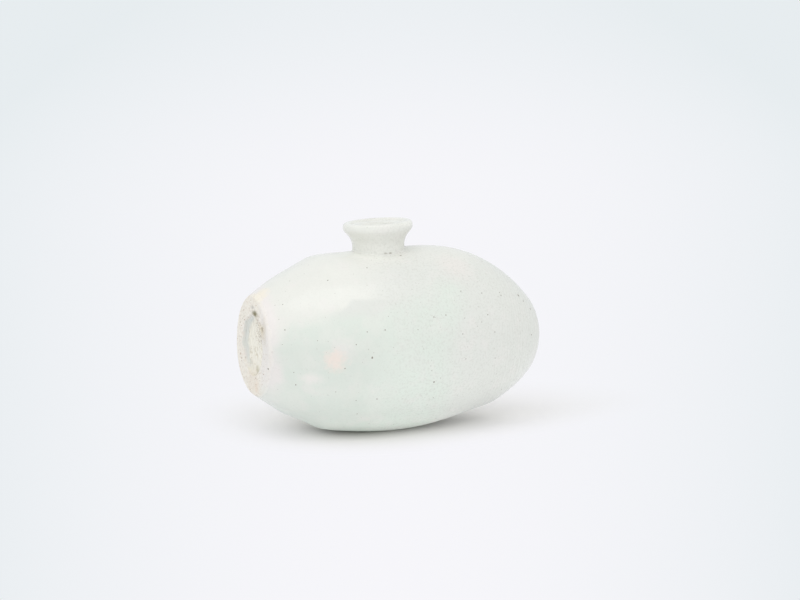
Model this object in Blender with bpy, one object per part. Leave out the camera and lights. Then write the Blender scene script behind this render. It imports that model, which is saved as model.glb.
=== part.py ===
"""Barrel-shaped porcelain bottle: a thrown jar laid on its side, with a short flared neck on its crown.

The jar's axis runs along X, from the flat trimmed foot at -X to the closed dome at +X. The bottle rests on a
small flat pressed into its belly, at Z = 0. The clay members are separate solids that meet at luted seams:
the base slab, the wall, the dome that closes it, the neck and the coil of clay smoothed round its root.
All lengths are in metres.
"""

import bisect
import math

import bmesh
import bpy
from mathutils import Vector
from mathutils.geometry import interpolate_bezier

# Jar, measured from the face of the foot along the axis
BODY_LENGTH = 0.223
FLANK_LENGTH = 0.0462
CREST_FROM_FOOT = 0.1116
FOOT_RADIUS = 0.0348
FOOT_EDGE_ROUND = 0.0020
FLANK_ANGLE = math.radians(36.0)
TURN_RADIUS = 0.0609
TURN_ANGLE = math.radians(28.6)
BELLY_RADIUS = 0.0669
TURN_CARRY = 0.0065
BELLY_LEVEL = 0.0400
SHOULDER_LEVEL = 0.0578
DOME_TIP_BLUNT = 0.0436

# How the soft jar slumped: its section's centre wanders above and below the foot's centre
SAG_FROM_FOOT = 0.0965
BELLY_SAG = 0.00155
LIFT_FROM_FOOT = 0.1608
SHOULDER_LIFT = 0.00186
TIP_DROOP = 0.00214
REST_FLAT_DEPTH = 0.0016

# Clay thicknesses and the luted seams
WALL = 0.0070
BASE_THICKNESS = 0.0100
DOME_SEAM_FROM_TIP = 0.0350
LUTING_GAP = 0.0003

# Recess trimmed into the foot
RECESS_RADIUS = 0.0218
RECESS_DEPTH = 0.0033
RECESS_FILLET = 0.0022

# Neck, whose heights are measured from the crown of the wall under it
NECK_FROM_FOOT = 0.0976
NECK_HEIGHT = 0.0209
NECK_RADIUS = 0.0190
NECK_STRAIGHT = 0.0025
NECK_LEAN = math.radians(3.4)
THROAT_RADIUS = 0.0120
THROAT_BELOW_RIM = 0.0055
LIP_RADIUS = 0.0255
LIP_BELOW_RIM = 0.0036
LIP_CARRY = 0.0044
FLARE_CARRY = 0.0097
RIM_LAND = 0.0063
RIM_EDGE_DROP = 0.0014

# Coil of clay round the neck's root
COIL_WIDTH = 0.0024
COIL_HEIGHT = 0.0024
COIL_TOE = 0.0005

# Facets
BODY_SEGMENTS = 56
NECK_SEGMENTS = 40
FLANK_STEPS = 5
BELLY_STEPS = 8
DOME_STEPS = 14
FINE_STEPS = 120
EDGE_STEPS = 4
FLARE_STEPS = 8
MERGE_DISTANCE = 0.000001
SMOOTH_ANGLE = math.radians(40.0)

# Colours in linear light
GLAZE_COLOUR = (0.76, 0.79, 0.74, 1.0)
CLAY_COLOUR = (0.78, 0.70, 0.60, 1.0)
GLAZE_ROUGHNESS = 0.28
CLAY_ROUGHNESS = 0.85


def curve(start, start_handle, end_handle, end, steps):
    """Points of one Bezier stretch, both ends included."""
    ends = [Vector((*point, 0.0)) for point in (start, start_handle, end_handle, end)]
    return [(point.x, point.y) for point in interpolate_bezier(*ends, steps + 1)]


def jar_outline(flank_steps, belly_steps, dome_steps):
    """(distance from the foot, radius) along the jar's outside, from the edge of the foot's face to the tip."""
    run, rise = math.cos(FLANK_ANGLE), math.sin(FLANK_ANGLE)
    edge = (0.0, FOOT_RADIUS - FOOT_EDGE_ROUND)
    corner = (0.0, FOOT_RADIUS)
    flank = (FOOT_EDGE_ROUND * run, FOOT_RADIUS + FOOT_EDGE_ROUND * rise)
    turn = (FLANK_LENGTH, TURN_RADIUS)
    third = math.dist(flank, turn) / 3.0
    flank_out = (flank[0] + third * run, flank[1] + third * rise)
    run, rise = math.cos(TURN_ANGLE), math.sin(TURN_ANGLE)
    turn_in = (turn[0] - third * run, turn[1] - third * rise)
    turn_out = (turn[0] + TURN_CARRY * run, turn[1] + TURN_CARRY * rise)
    crest = (CREST_FROM_FOOT, BELLY_RADIUS)
    tip = (BODY_LENGTH, 0.0)
    points = curve(edge, corner, corner, flank, EDGE_STEPS)
    points += curve(flank, flank_out, turn_in, turn, flank_steps)[1:]
    points += curve(turn, turn_out, (crest[0] - BELLY_LEVEL, crest[1]), crest, belly_steps)[1:]
    points += curve(crest, (crest[0] + SHOULDER_LEVEL, crest[1]), (tip[0], DOME_TIP_BLUNT), tip, dome_steps)[1:]
    return points


def inward(outline, depth):
    """The outline moved inwards by a wall's thickness, along its own normals."""
    moved = []
    for index, (along, radius) in enumerate(outline):
        before = outline[max(index - 1, 0)]
        after = outline[min(index + 1, len(outline) - 1)]
        tangent = Vector((after[0] - before[0], after[1] - before[1])).normalized()
        if radius < MERGE_DISTANCE:
            moved.append((along - depth, 0.0))
            continue
        moved.append((along + depth * tangent.y, radius - depth * tangent.x))
    return moved


def height_at(outline, along):
    """The outline's radius at a distance from the foot, read between its two nearest points."""
    index = bisect.bisect_left(outline, (along, 0.0))
    index = min(max(index, 1), len(outline) - 1)
    before, after = outline[index - 1], outline[index]
    share = (along - before[0]) / (after[0] - before[0])
    return before[1] + share * (after[1] - before[1])


def between(outline, start, end):
    """The stretch of an outline between two distances from the foot, cut square at both."""
    inside = [point for point in outline if start + MERGE_DISTANCE < point[0] < end - MERGE_DISTANCE]
    return [(start, height_at(outline, start)), *inside, (end, height_at(outline, end))]


def wander(along):
    """How far the section's centre lies above the foot's centre: eased from each station to the next."""
    stations = (
        (0.0, 0.0),
        (SAG_FROM_FOOT, -BELLY_SAG),
        (LIFT_FROM_FOOT, SHOULDER_LIFT),
        (BODY_LENGTH, -TIP_DROOP),
    )
    for (start, low), (end, high) in zip(stations, stations[1:]):
        if along <= end:
            break
    share = (along - start) / (end - start)
    return low + (high - low) * (1.0 - math.cos(math.pi * share)) / 2.0


OUTSIDE = jar_outline(FLANK_STEPS, BELLY_STEPS, DOME_STEPS)
OUTSIDE_FINE = jar_outline(FINE_STEPS, FINE_STEPS, FINE_STEPS)
INSIDE = inward(OUTSIDE, WALL)
FOOT_X = -BODY_LENGTH / 2.0
WALL_START = BASE_THICKNESS + LUTING_GAP
WALL_END = BODY_LENGTH - DOME_SEAM_FROM_TIP
DOME_START = WALL_END + LUTING_GAP
AXIS_HEIGHT = max(radius - wander(along) for along, radius in OUTSIDE_FINE) - REST_FLAT_DEPTH


def crown(along, across):
    """Height of the wall's outside above the foot's centre, at a place along and across the jar."""
    radius = height_at(OUTSIDE_FINE, along)
    return wander(along) + math.sqrt(radius * radius - across * across)


NECK_X = FOOT_X + NECK_FROM_FOOT
CROWN_HEIGHT = crown(NECK_FROM_FOOT, 0.0)


def turned(chain, axis, segments, closed):
    """A solid turned from a chain of points about an axis through the origin, as on a wheel."""
    shape = bmesh.new()
    vertices = [shape.verts.new(point) for point in chain]
    following = vertices[1:] + vertices[:1] if closed else vertices[1:]
    edges = [shape.edges.new(pair) for pair in zip(vertices, following)]
    bmesh.ops.spin(
        shape,
        geom=vertices + edges,
        cent=(0.0, 0.0, 0.0),
        axis=axis,
        angle=math.tau,
        steps=segments,
        use_merge=True,
    )
    bmesh.ops.remove_doubles(shape, verts=shape.verts, dist=MERGE_DISTANCE)
    bmesh.ops.recalc_face_normals(shape, faces=shape.faces)
    return shape


def jar_member(chain, closed):
    """A member turned on the jar's axis, then slumped: each section drops or lifts by the axis's wander."""
    points = [(FOOT_X + along, 0.0, radius) for along, radius in chain]
    shape = turned(points, (1.0, 0.0, 0.0), BODY_SEGMENTS, closed)
    for vertex in shape.verts:
        vertex.co.z += wander(vertex.co.x - FOOT_X)
    return shape


def neck_member(chain):
    """A member turned on the neck's axis, then bent with the neck's lean and its root laid over the wall.

    The lean grows evenly from the root to the rim. The root takes the wall's saddle shape, clear of it by the
    luting gap, and the saddle fades out towards the rim.
    """
    points = [(radius, 0.0, height) for radius, height in chain]
    shape = turned(points, (0.0, 0.0, 1.0), NECK_SEGMENTS, True)
    for vertex in shape.verts:
        rise = min(vertex.co.z / NECK_HEIGHT, 1.0)
        saddle = crown(NECK_FROM_FOOT + vertex.co.x, vertex.co.y) + LUTING_GAP - CROWN_HEIGHT
        fade = (1.0 + math.cos(math.pi * rise)) / 2.0
        lift = NECK_LEAN * rise * vertex.co.x + saddle * fade
        vertex.co.x -= NECK_LEAN * rise * vertex.co.z / 2.0
        vertex.co.z += lift
    return shape


def clay(name, colour, roughness):
    """A plain finish for one member."""
    material = bpy.data.materials.new(name)
    material.use_nodes = True
    shader = material.node_tree.nodes["Principled BSDF"]
    shader.inputs["Base Color"].default_value = colour
    shader.inputs["Roughness"].default_value = roughness
    shader.inputs["Metallic"].default_value = 0.0
    return material


def place(name, shape, parent, material):
    """The shape as a named, smooth-shaded object, riding on its parent."""
    mesh = bpy.data.meshes.new(name)
    shape.to_mesh(mesh)
    shape.free()
    mesh.shade_smooth()
    mesh.set_sharp_from_angle(angle=SMOOTH_ANGLE)
    mesh.materials.append(material)
    made = bpy.data.objects.new(name, mesh)
    bpy.context.scene.collection.objects.link(made)
    made.parent = parent
    return made


def seat(name, location, parent=None):
    """An empty at which members are built."""
    made = bpy.data.objects.new(name, None)
    bpy.context.scene.collection.objects.link(made)
    made.location = location
    made.parent = parent
    return made


def make_foot_base(jar):
    """The base slab: flat inside, with the flank's slope at its edge and a trimmed recess in its face."""
    recess_wall = (0.0, RECESS_RADIUS)
    recess_floor = (RECESS_DEPTH, RECESS_RADIUS - RECESS_FILLET)
    recess_corner = (RECESS_DEPTH, RECESS_RADIUS)
    chain = [(BASE_THICKNESS, 0.0)]
    chain += reversed(between(OUTSIDE, OUTSIDE[EDGE_STEPS][0], BASE_THICKNESS))
    chain += reversed(OUTSIDE[:EDGE_STEPS])
    chain += curve(recess_wall, recess_corner, recess_corner, recess_floor, EDGE_STEPS)
    chain.append((RECESS_DEPTH, 0.0))
    shape = jar_member(chain, closed=False)
    place("foot_base", shape, jar, clay("bare_foot_clay", CLAY_COLOUR, CLAY_ROUGHNESS))


def make_barrel_wall(jar):
    """The thrown wall, pressed flat where it rests and pierced under the neck."""
    chain = between(OUTSIDE, WALL_START, WALL_END)
    chain += reversed(between(INSIDE, WALL_START, WALL_END))
    shape = jar_member(chain, closed=True)
    bmesh.ops.bisect_plane(
        shape,
        geom=shape.verts[:] + shape.edges[:] + shape.faces[:],
        plane_co=(0.0, 0.0, -AXIS_HEIGHT),
        plane_no=(0.0, 0.0, -1.0),
        clear_outer=True,
    )
    rim = [edge for edge in shape.edges if edge.is_boundary]
    bmesh.ops.holes_fill(shape, edges=rim)
    wall = place("barrel_wall", shape, jar, clay("wall_glaze", GLAZE_COLOUR, GLAZE_ROUGHNESS))
    hole = bmesh.new()
    bmesh.ops.create_cone(
        hole,
        cap_ends=True,
        segments=NECK_SEGMENTS,
        radius1=THROAT_RADIUS,
        radius2=THROAT_RADIUS,
        depth=BELLY_RADIUS,
    )
    cutter = place("neck_hole_cutter", hole, jar, wall.data.materials[0])
    cutter.location = (NECK_X, 0.0, CROWN_HEIGHT)
    cutter.hide_render = True
    cutter.display_type = "WIRE"
    piercing = wall.modifiers.new("neck_hole", "BOOLEAN")
    piercing.operation = "DIFFERENCE"
    piercing.object = cutter


def make_closing_dome(jar):
    """The domed end, set on the wall's level rim."""
    chain = list(reversed(between(OUTSIDE[:-1], DOME_START, OUTSIDE[-2][0])))
    chain.insert(0, OUTSIDE[-1])
    chain += between(INSIDE[:-1], DOME_START, INSIDE[-2][0])
    chain.append(INSIDE[-1])
    shape = jar_member(chain, closed=False)
    place("closing_dome", shape, jar, clay("dome_glaze", GLAZE_COLOUR, GLAZE_ROUGHNESS))


def make_neck(root):
    """The neck: a straight bore opening as a funnel, a rounded rim, and a lip that flares from a narrow stem."""
    throat = (THROAT_RADIUS, NECK_HEIGHT - THROAT_BELOW_RIM)
    mouth = (LIP_RADIUS - RIM_LAND, NECK_HEIGHT - RIM_EDGE_DROP)
    lip = (LIP_RADIUS, NECK_HEIGHT - LIP_BELOW_RIM)
    crest = (LIP_RADIUS - RIM_LAND / 2.0, NECK_HEIGHT)
    stem = (NECK_RADIUS, NECK_STRAIGHT)
    chain = [(THROAT_RADIUS, 0.0), (THROAT_RADIUS, throat[1] / 2.0)]
    chain += curve(throat, (throat[0], mouth[1]), (mouth[0], mouth[1]), mouth, EDGE_STEPS)
    chain += curve(mouth, (mouth[0], crest[1]), (mouth[0], crest[1]), crest, EDGE_STEPS)[1:]
    chain += curve(crest, (lip[0], crest[1]), (lip[0], crest[1]), lip, EDGE_STEPS)[1:]
    chain += curve(lip, (lip[0], lip[1] - LIP_CARRY), (stem[0], stem[1] + FLARE_CARRY), stem, FLARE_STEPS)[1:]
    chain += [(NECK_RADIUS, 0.0), ((THROAT_RADIUS + NECK_RADIUS) / 2.0, 0.0)]
    shape = neck_member(chain)
    place("neck", shape, root, clay("neck_glaze", GLAZE_COLOUR, GLAZE_ROUGHNESS))


def make_luting_coil(root):
    """The coil: a hollow fillet from the neck's stem down to a thin toe on the wall."""
    inner = NECK_RADIUS + LUTING_GAP
    toe = (inner + COIL_WIDTH, COIL_TOE)
    top = (inner + COIL_TOE, COIL_HEIGHT)
    hollow = (top[0], toe[1])
    chain = [(inner, 0.0), (inner, COIL_HEIGHT)]
    chain += curve(top, hollow, hollow, toe, EDGE_STEPS)
    chain.append((toe[0], 0.0))
    shape = neck_member(chain)
    place("neck_luting_coil", shape, root, clay("coil_glaze", GLAZE_COLOUR, GLAZE_ROUGHNESS))


def main():
    """Clears the scene and builds the bottle at rest."""
    for old in list(bpy.data.objects):
        bpy.data.objects.remove(old)
    jar = seat("jar_axis", (0.0, 0.0, AXIS_HEIGHT))
    neck_root = seat("neck_root", (NECK_X, 0.0, CROWN_HEIGHT), jar)
    make_foot_base(jar)
    make_barrel_wall(jar)
    make_closing_dome(jar)
    make_neck(neck_root)
    make_luting_coil(neck_root)


main()
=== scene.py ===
"""Looks of the barrel-shaped porcelain bottle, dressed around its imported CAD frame.

The jar is one surface of two parameters: the arc length along its outline and the angle round its axis. The
wall, the dome and the base slab are stretches of that surface, so their seams are smoothed over as on the
glazed bottle. The neck and its coil are profiles carried round the neck's leaning axis and laid on the wall.
All lengths are in metres and all colours in linear light.
"""

import logging
import math
from dataclasses import dataclass, field
from enum import Enum
from itertools import combinations

import bpy
import numpy as np
from mathutils import Matrix, Vector

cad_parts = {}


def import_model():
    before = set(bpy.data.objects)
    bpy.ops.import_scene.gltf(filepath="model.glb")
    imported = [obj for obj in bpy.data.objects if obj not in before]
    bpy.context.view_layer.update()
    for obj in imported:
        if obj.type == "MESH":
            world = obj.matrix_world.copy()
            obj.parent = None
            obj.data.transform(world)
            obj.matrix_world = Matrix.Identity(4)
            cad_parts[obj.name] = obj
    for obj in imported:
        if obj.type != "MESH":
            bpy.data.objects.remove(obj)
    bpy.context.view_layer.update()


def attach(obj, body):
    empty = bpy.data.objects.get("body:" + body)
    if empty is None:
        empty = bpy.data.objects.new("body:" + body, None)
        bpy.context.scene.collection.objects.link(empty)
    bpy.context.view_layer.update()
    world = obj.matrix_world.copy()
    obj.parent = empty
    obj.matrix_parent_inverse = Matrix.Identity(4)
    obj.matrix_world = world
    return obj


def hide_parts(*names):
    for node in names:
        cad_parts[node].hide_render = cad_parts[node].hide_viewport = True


Array = np.ndarray
Colour = tuple[float, float, float]
Place = tuple[float, float, float]

IMAGE_WIDTH = 800
IMAGE_HEIGHT = 600
BODY = "root"
MM = 0.001
TINY = 1e-12
NEIGHBOUR_REACH = 1.2
LOG = logging.getLogger("barrel_bottle")


class Slot(Enum):
    """The record's material slots."""

    WHITE_GLAZE = "white_glaze"
    BARE_CLAY = "bare_clay"


class Ground(Enum):
    """What a speck or a stain lies on: the jar's side or the flat face of its foot."""

    SIDE = "side"
    FOOT = "foot"


# Mesh helpers


def bezier(start: Array, start_handle: Array, end_handle: Array, end: Array, count: int) -> Array:
    """Points of one cubic Bezier stretch: the four control points weighted by the Bernstein polynomials.

    Args:
        start: First point.
        start_handle: Handle of the first point.
        end_handle: Handle of the last point.
        end: Last point.
        count: Number of points, both ends included.

    Returns:
        The points, one to a row.
    """
    t = np.linspace(0.0, 1.0, count)[:, None]
    controls = [np.asarray(point, float) for point in (start, start_handle, end_handle, end)]
    weights = ((1 - t) ** 3, 3 * (1 - t) ** 2 * t, 3 * (1 - t) * t**2, t**3)
    return sum(weight * point for weight, point in zip(weights, controls))


def ease(value: Array, low: float, high: float) -> Array:
    """A smooth step: 0 up to low, 1 from high on, and 3t^2 - 2t^3 between them."""
    share = np.clip((value - low) / (high - low), 0.0, 1.0)
    return share * share * (3.0 - 2.0 * share)


def turns(count: int) -> Array:
    """Angles in equal steps round a full turn, from zero on."""
    return np.arange(count) * 2.0 * math.pi / count


def unit(vectors: Array) -> Array:
    """Vectors along the last axis, brought to length one."""
    return vectors / np.maximum(np.linalg.norm(vectors, axis=-1, keepdims=True), TINY)


def grid_quads(rows: int, columns: int, wrap_rows: bool = False) -> Array:
    """Quads of a grid of points that closes round its columns.

    Args:
        rows: Number of rows of points.
        columns: Number of points in a row.
        wrap_rows: Whether the last row also joins the first.

    Returns:
        Four point numbers to a row, in an order that faces row direction times column direction.
    """
    row = np.arange(rows if wrap_rows else rows - 1)[:, None]
    column = np.arange(columns)[None, :]
    below = (row + 1) % rows
    beside = (column + 1) % columns
    here, next_row = row * columns, below * columns
    corners = (here + column, next_row + column, next_row + beside, here + beside)
    return np.stack(np.broadcast_arrays(*corners), -1).reshape(-1, 4)


def pole_fan(ring_start: int, columns: int, pole: int, at_end: bool) -> Array:
    """Triangles that close a ring of points onto one pole.

    Args:
        ring_start: Number of the ring's first point.
        columns: Number of points in the ring.
        pole: Number of the pole's point.
        at_end: Whether the pole follows the ring in row direction, or comes before it.

    Returns:
        Three point numbers to a row.
    """
    here = ring_start + np.arange(columns)
    beside = ring_start + (np.arange(columns) + 1) % columns
    tip = np.full(columns, pole)
    return np.stack((here, tip, beside) if at_end else (tip, here, beside), -1)


def rim_edges(faces: list[Array]) -> Array:
    """The directed edges that only one face uses, which bound an open surface.

    Args:
        faces: Arrays of faces, each with its own number of corners.

    Returns:
        Two point numbers to a row.
    """
    edges = np.concatenate([np.stack((part, np.roll(part, -1, 1)), -1).reshape(-1, 2) for part in faces])
    size = int(edges.max()) + 1
    forward = edges[:, 0] * size + edges[:, 1]
    backward = edges[:, 1] * size + edges[:, 0]
    return edges[~np.isin(forward, backward)]


@dataclass
class Solid:
    """A closed mesh in the making: its points, its faces, and the normals to shade it by."""

    points: Array
    faces: list[Array]
    normals: Array
    plain_faces: Array = field(default_factory=lambda: np.empty((0, 4), int))

    def object(self, name: str) -> bpy.types.Object:
        """Puts the points and faces into a mesh, shaded by the given normals.

        Faces in plain_faces, the cut edges of a wall, are shaded flat.

        Args:
            name: The object's name.

        Returns:
            The new object, at the origin.
        """
        parts = [*self.faces, self.plain_faces]
        used = np.unique(np.concatenate([part.reshape(-1) for part in parts]))
        renumber = np.zeros(len(self.points), int)
        renumber[used] = np.arange(len(used))
        polygons = [corners for part in parts for corners in renumber[part].tolist()]
        mesh = bpy.data.meshes.new(name)
        mesh.from_pydata(self.points[used].tolist(), [], polygons)
        smooth = np.ones(len(polygons), bool)
        smooth[len(polygons) - len(self.plain_faces):] = False
        mesh.polygons.foreach_set("use_smooth", smooth)
        corner_normals = [self.normals[part.reshape(-1)] for part in self.faces]
        corner_normals.append(np.zeros((self.plain_faces.size, 3)))
        mesh.normals_split_custom_set(np.concatenate(corner_normals).tolist())
        mesh.update()
        made = bpy.data.objects.new(name, mesh)
        bpy.context.scene.collection.objects.link(made)
        return made


def walled(
    outer: Array, inner: Array, outer_normals: Array, inner_normals: Array, faces: list[Array]
) -> Solid:
    """A wall with thickness: an outer skin, the same faces turned inwards on the inner skin, and cut edges.

    Each open edge of the outer skin is joined to the same edge of the inner one.

    Args:
        outer: Points of the outer skin.
        inner: Points of the inner skin, numbered as the outer ones are.
        outer_normals: Normals of the outer skin.
        inner_normals: Normals of the inner skin, into the hollow.
        faces: Faces of the outer skin.

    Returns:
        The closed solid.
    """
    shift = len(outer)
    rim = rim_edges(faces)
    cut = np.stack((rim[:, 1], rim[:, 0], rim[:, 0] + shift, rim[:, 1] + shift), -1)
    inside = [part[:, ::-1] + shift for part in faces]
    points = np.concatenate((outer, inner))
    return Solid(points, [*faces, *inside], np.concatenate((outer_normals, inner_normals)), cut)


def grid_normals(points: Array, wrap_rows: bool) -> Array:
    """Normals of a grid that closes round its columns: row direction times column direction.

    Args:
        points: The grid, as rows by columns by three.
        wrap_rows: Whether the last row joins the first.

    Returns:
        Unit normals, in the grid's own shape.
    """
    across = np.roll(points, -1, 1) - np.roll(points, 1, 1)
    if wrap_rows:
        along = np.roll(points, -1, 0) - np.roll(points, 1, 0)
    else:
        along = np.gradient(points, axis=0)
    return unit(np.cross(along, across))


def swept(grid: Array) -> Solid:
    """A closed section carried round an axis.

    Args:
        grid: The points, as section points by steps round the axis by three.

    Returns:
        The closed solid.
    """
    rows, columns = grid.shape[:2]
    normals = grid_normals(grid, wrap_rows=True).reshape(-1, 3)
    return Solid(grid.reshape(-1, 3), [grid_quads(rows, columns, wrap_rows=True)], normals)


def icosahedron() -> tuple[Array, Array]:
    """Corners of an icosahedron of radius one, and its faces turned outwards.

    Returns:
        One corner to a row, and three corner numbers to a row.
    """
    golden = (1.0 + math.sqrt(5.0)) / 2.0
    pairs = np.array(((-1, golden), (1, golden), (-1, -golden), (1, -golden)))
    nothing = np.zeros((4, 1))
    rolled = np.hstack((pairs[:, 1:], nothing, pairs[:, :1]))
    corners = unit(np.concatenate((np.hstack((pairs, nothing)), np.hstack((nothing, pairs)), rolled)))
    beside = np.linalg.norm(corners[:, None] - corners[None], axis=-1) < NEIGHBOUR_REACH
    faces = np.array(
        [
            (a, b, c)
            for a, b, c in combinations(range(len(corners)), 3)
            if beside[a, b] and beside[b, c] and beside[a, c]
        ]
    )
    first, second, third = (corners[faces[:, index]] for index in range(3))
    facing = np.cross(second - first, third - first)
    inwards = (facing * corners[faces].mean(axis=1)).sum(axis=1) < 0
    faces[inwards] = faces[inwards][:, ::-1]
    return corners, faces


# Viewpoint


@dataclass(frozen=True)
class PhotoCamera:
    """The photograph's viewpoint, found by fitting the bottle's outline."""

    azimuth: float = math.radians(-22.83)
    elevation: float = math.radians(7.46)
    distance: float = 1.5
    focal_pixels: float = 2037.7
    aim: Place = (0.00334, 0.0, 0.09366)
    sensor_width: float = 36.0

    def axes(self) -> tuple[Array, Array, Array]:
        """The view's own axes.

        Returns:
            Unit vectors that point back to the camera, to the picture's right and up in the picture.
        """
        level = math.cos(self.elevation)
        back = np.array(
            (math.sin(self.azimuth) * level, -math.cos(self.azimuth) * level, math.sin(self.elevation))
        )
        right = np.array((math.cos(self.azimuth), math.sin(self.azimuth), 0.0))
        return back, right, np.cross(back, right)

    def place(self) -> Array:
        """Where the camera stands."""
        return np.array(self.aim) + self.axes()[0] * self.distance

    def rays(self, pixels: Array) -> Array:
        """Unit directions from the camera through pixels of the photograph.

        Args:
            pixels: Picture x and y, one pair to a row.

        Returns:
            One direction to a row.
        """
        back, right, up = self.axes()
        across = (pixels[:, :1] - IMAGE_WIDTH / 2.0) / self.focal_pixels
        rise = (IMAGE_HEIGHT / 2.0 - pixels[:, 1:2]) / self.focal_pixels
        return unit(-back + across * right + rise * up)

    def make(self) -> None:
        """Creates the camera and makes it the scene's own."""
        lens = bpy.data.cameras.new("photo_camera")
        lens.sensor_width = self.sensor_width
        lens.lens = self.focal_pixels * self.sensor_width / IMAGE_WIDTH
        made = bpy.data.objects.new("photo_camera", lens)
        back, right, up = self.axes()
        turn = Matrix((right, up, back)).transposed().to_4x4()
        made.matrix_world = Matrix.Translation(Vector(self.place())) @ turn
        bpy.context.scene.collection.objects.link(made)
        bpy.context.scene.camera = made


# The jar's form


@dataclass(frozen=True)
class Fullness:
    """A place where the jar is fuller than its outline: a bell curve along it, all round or on one side.

    The height is in millimetres. A fullness on one side fades in between two cosines of the angle from its
    heading.
    """

    height: float
    from_foot: float
    spread: float
    heading: float = 0.0
    fade: tuple[float, float] | None = None

    def at(self, along: Array, angle: Array) -> Array:
        """The height at places on the jar, in millimetres."""
        side = 1.0 if self.fade is None else ease(np.cos(angle - self.heading), *self.fade)
        return self.height * side * np.exp(-(((along - self.from_foot) / self.spread) ** 2))


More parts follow.
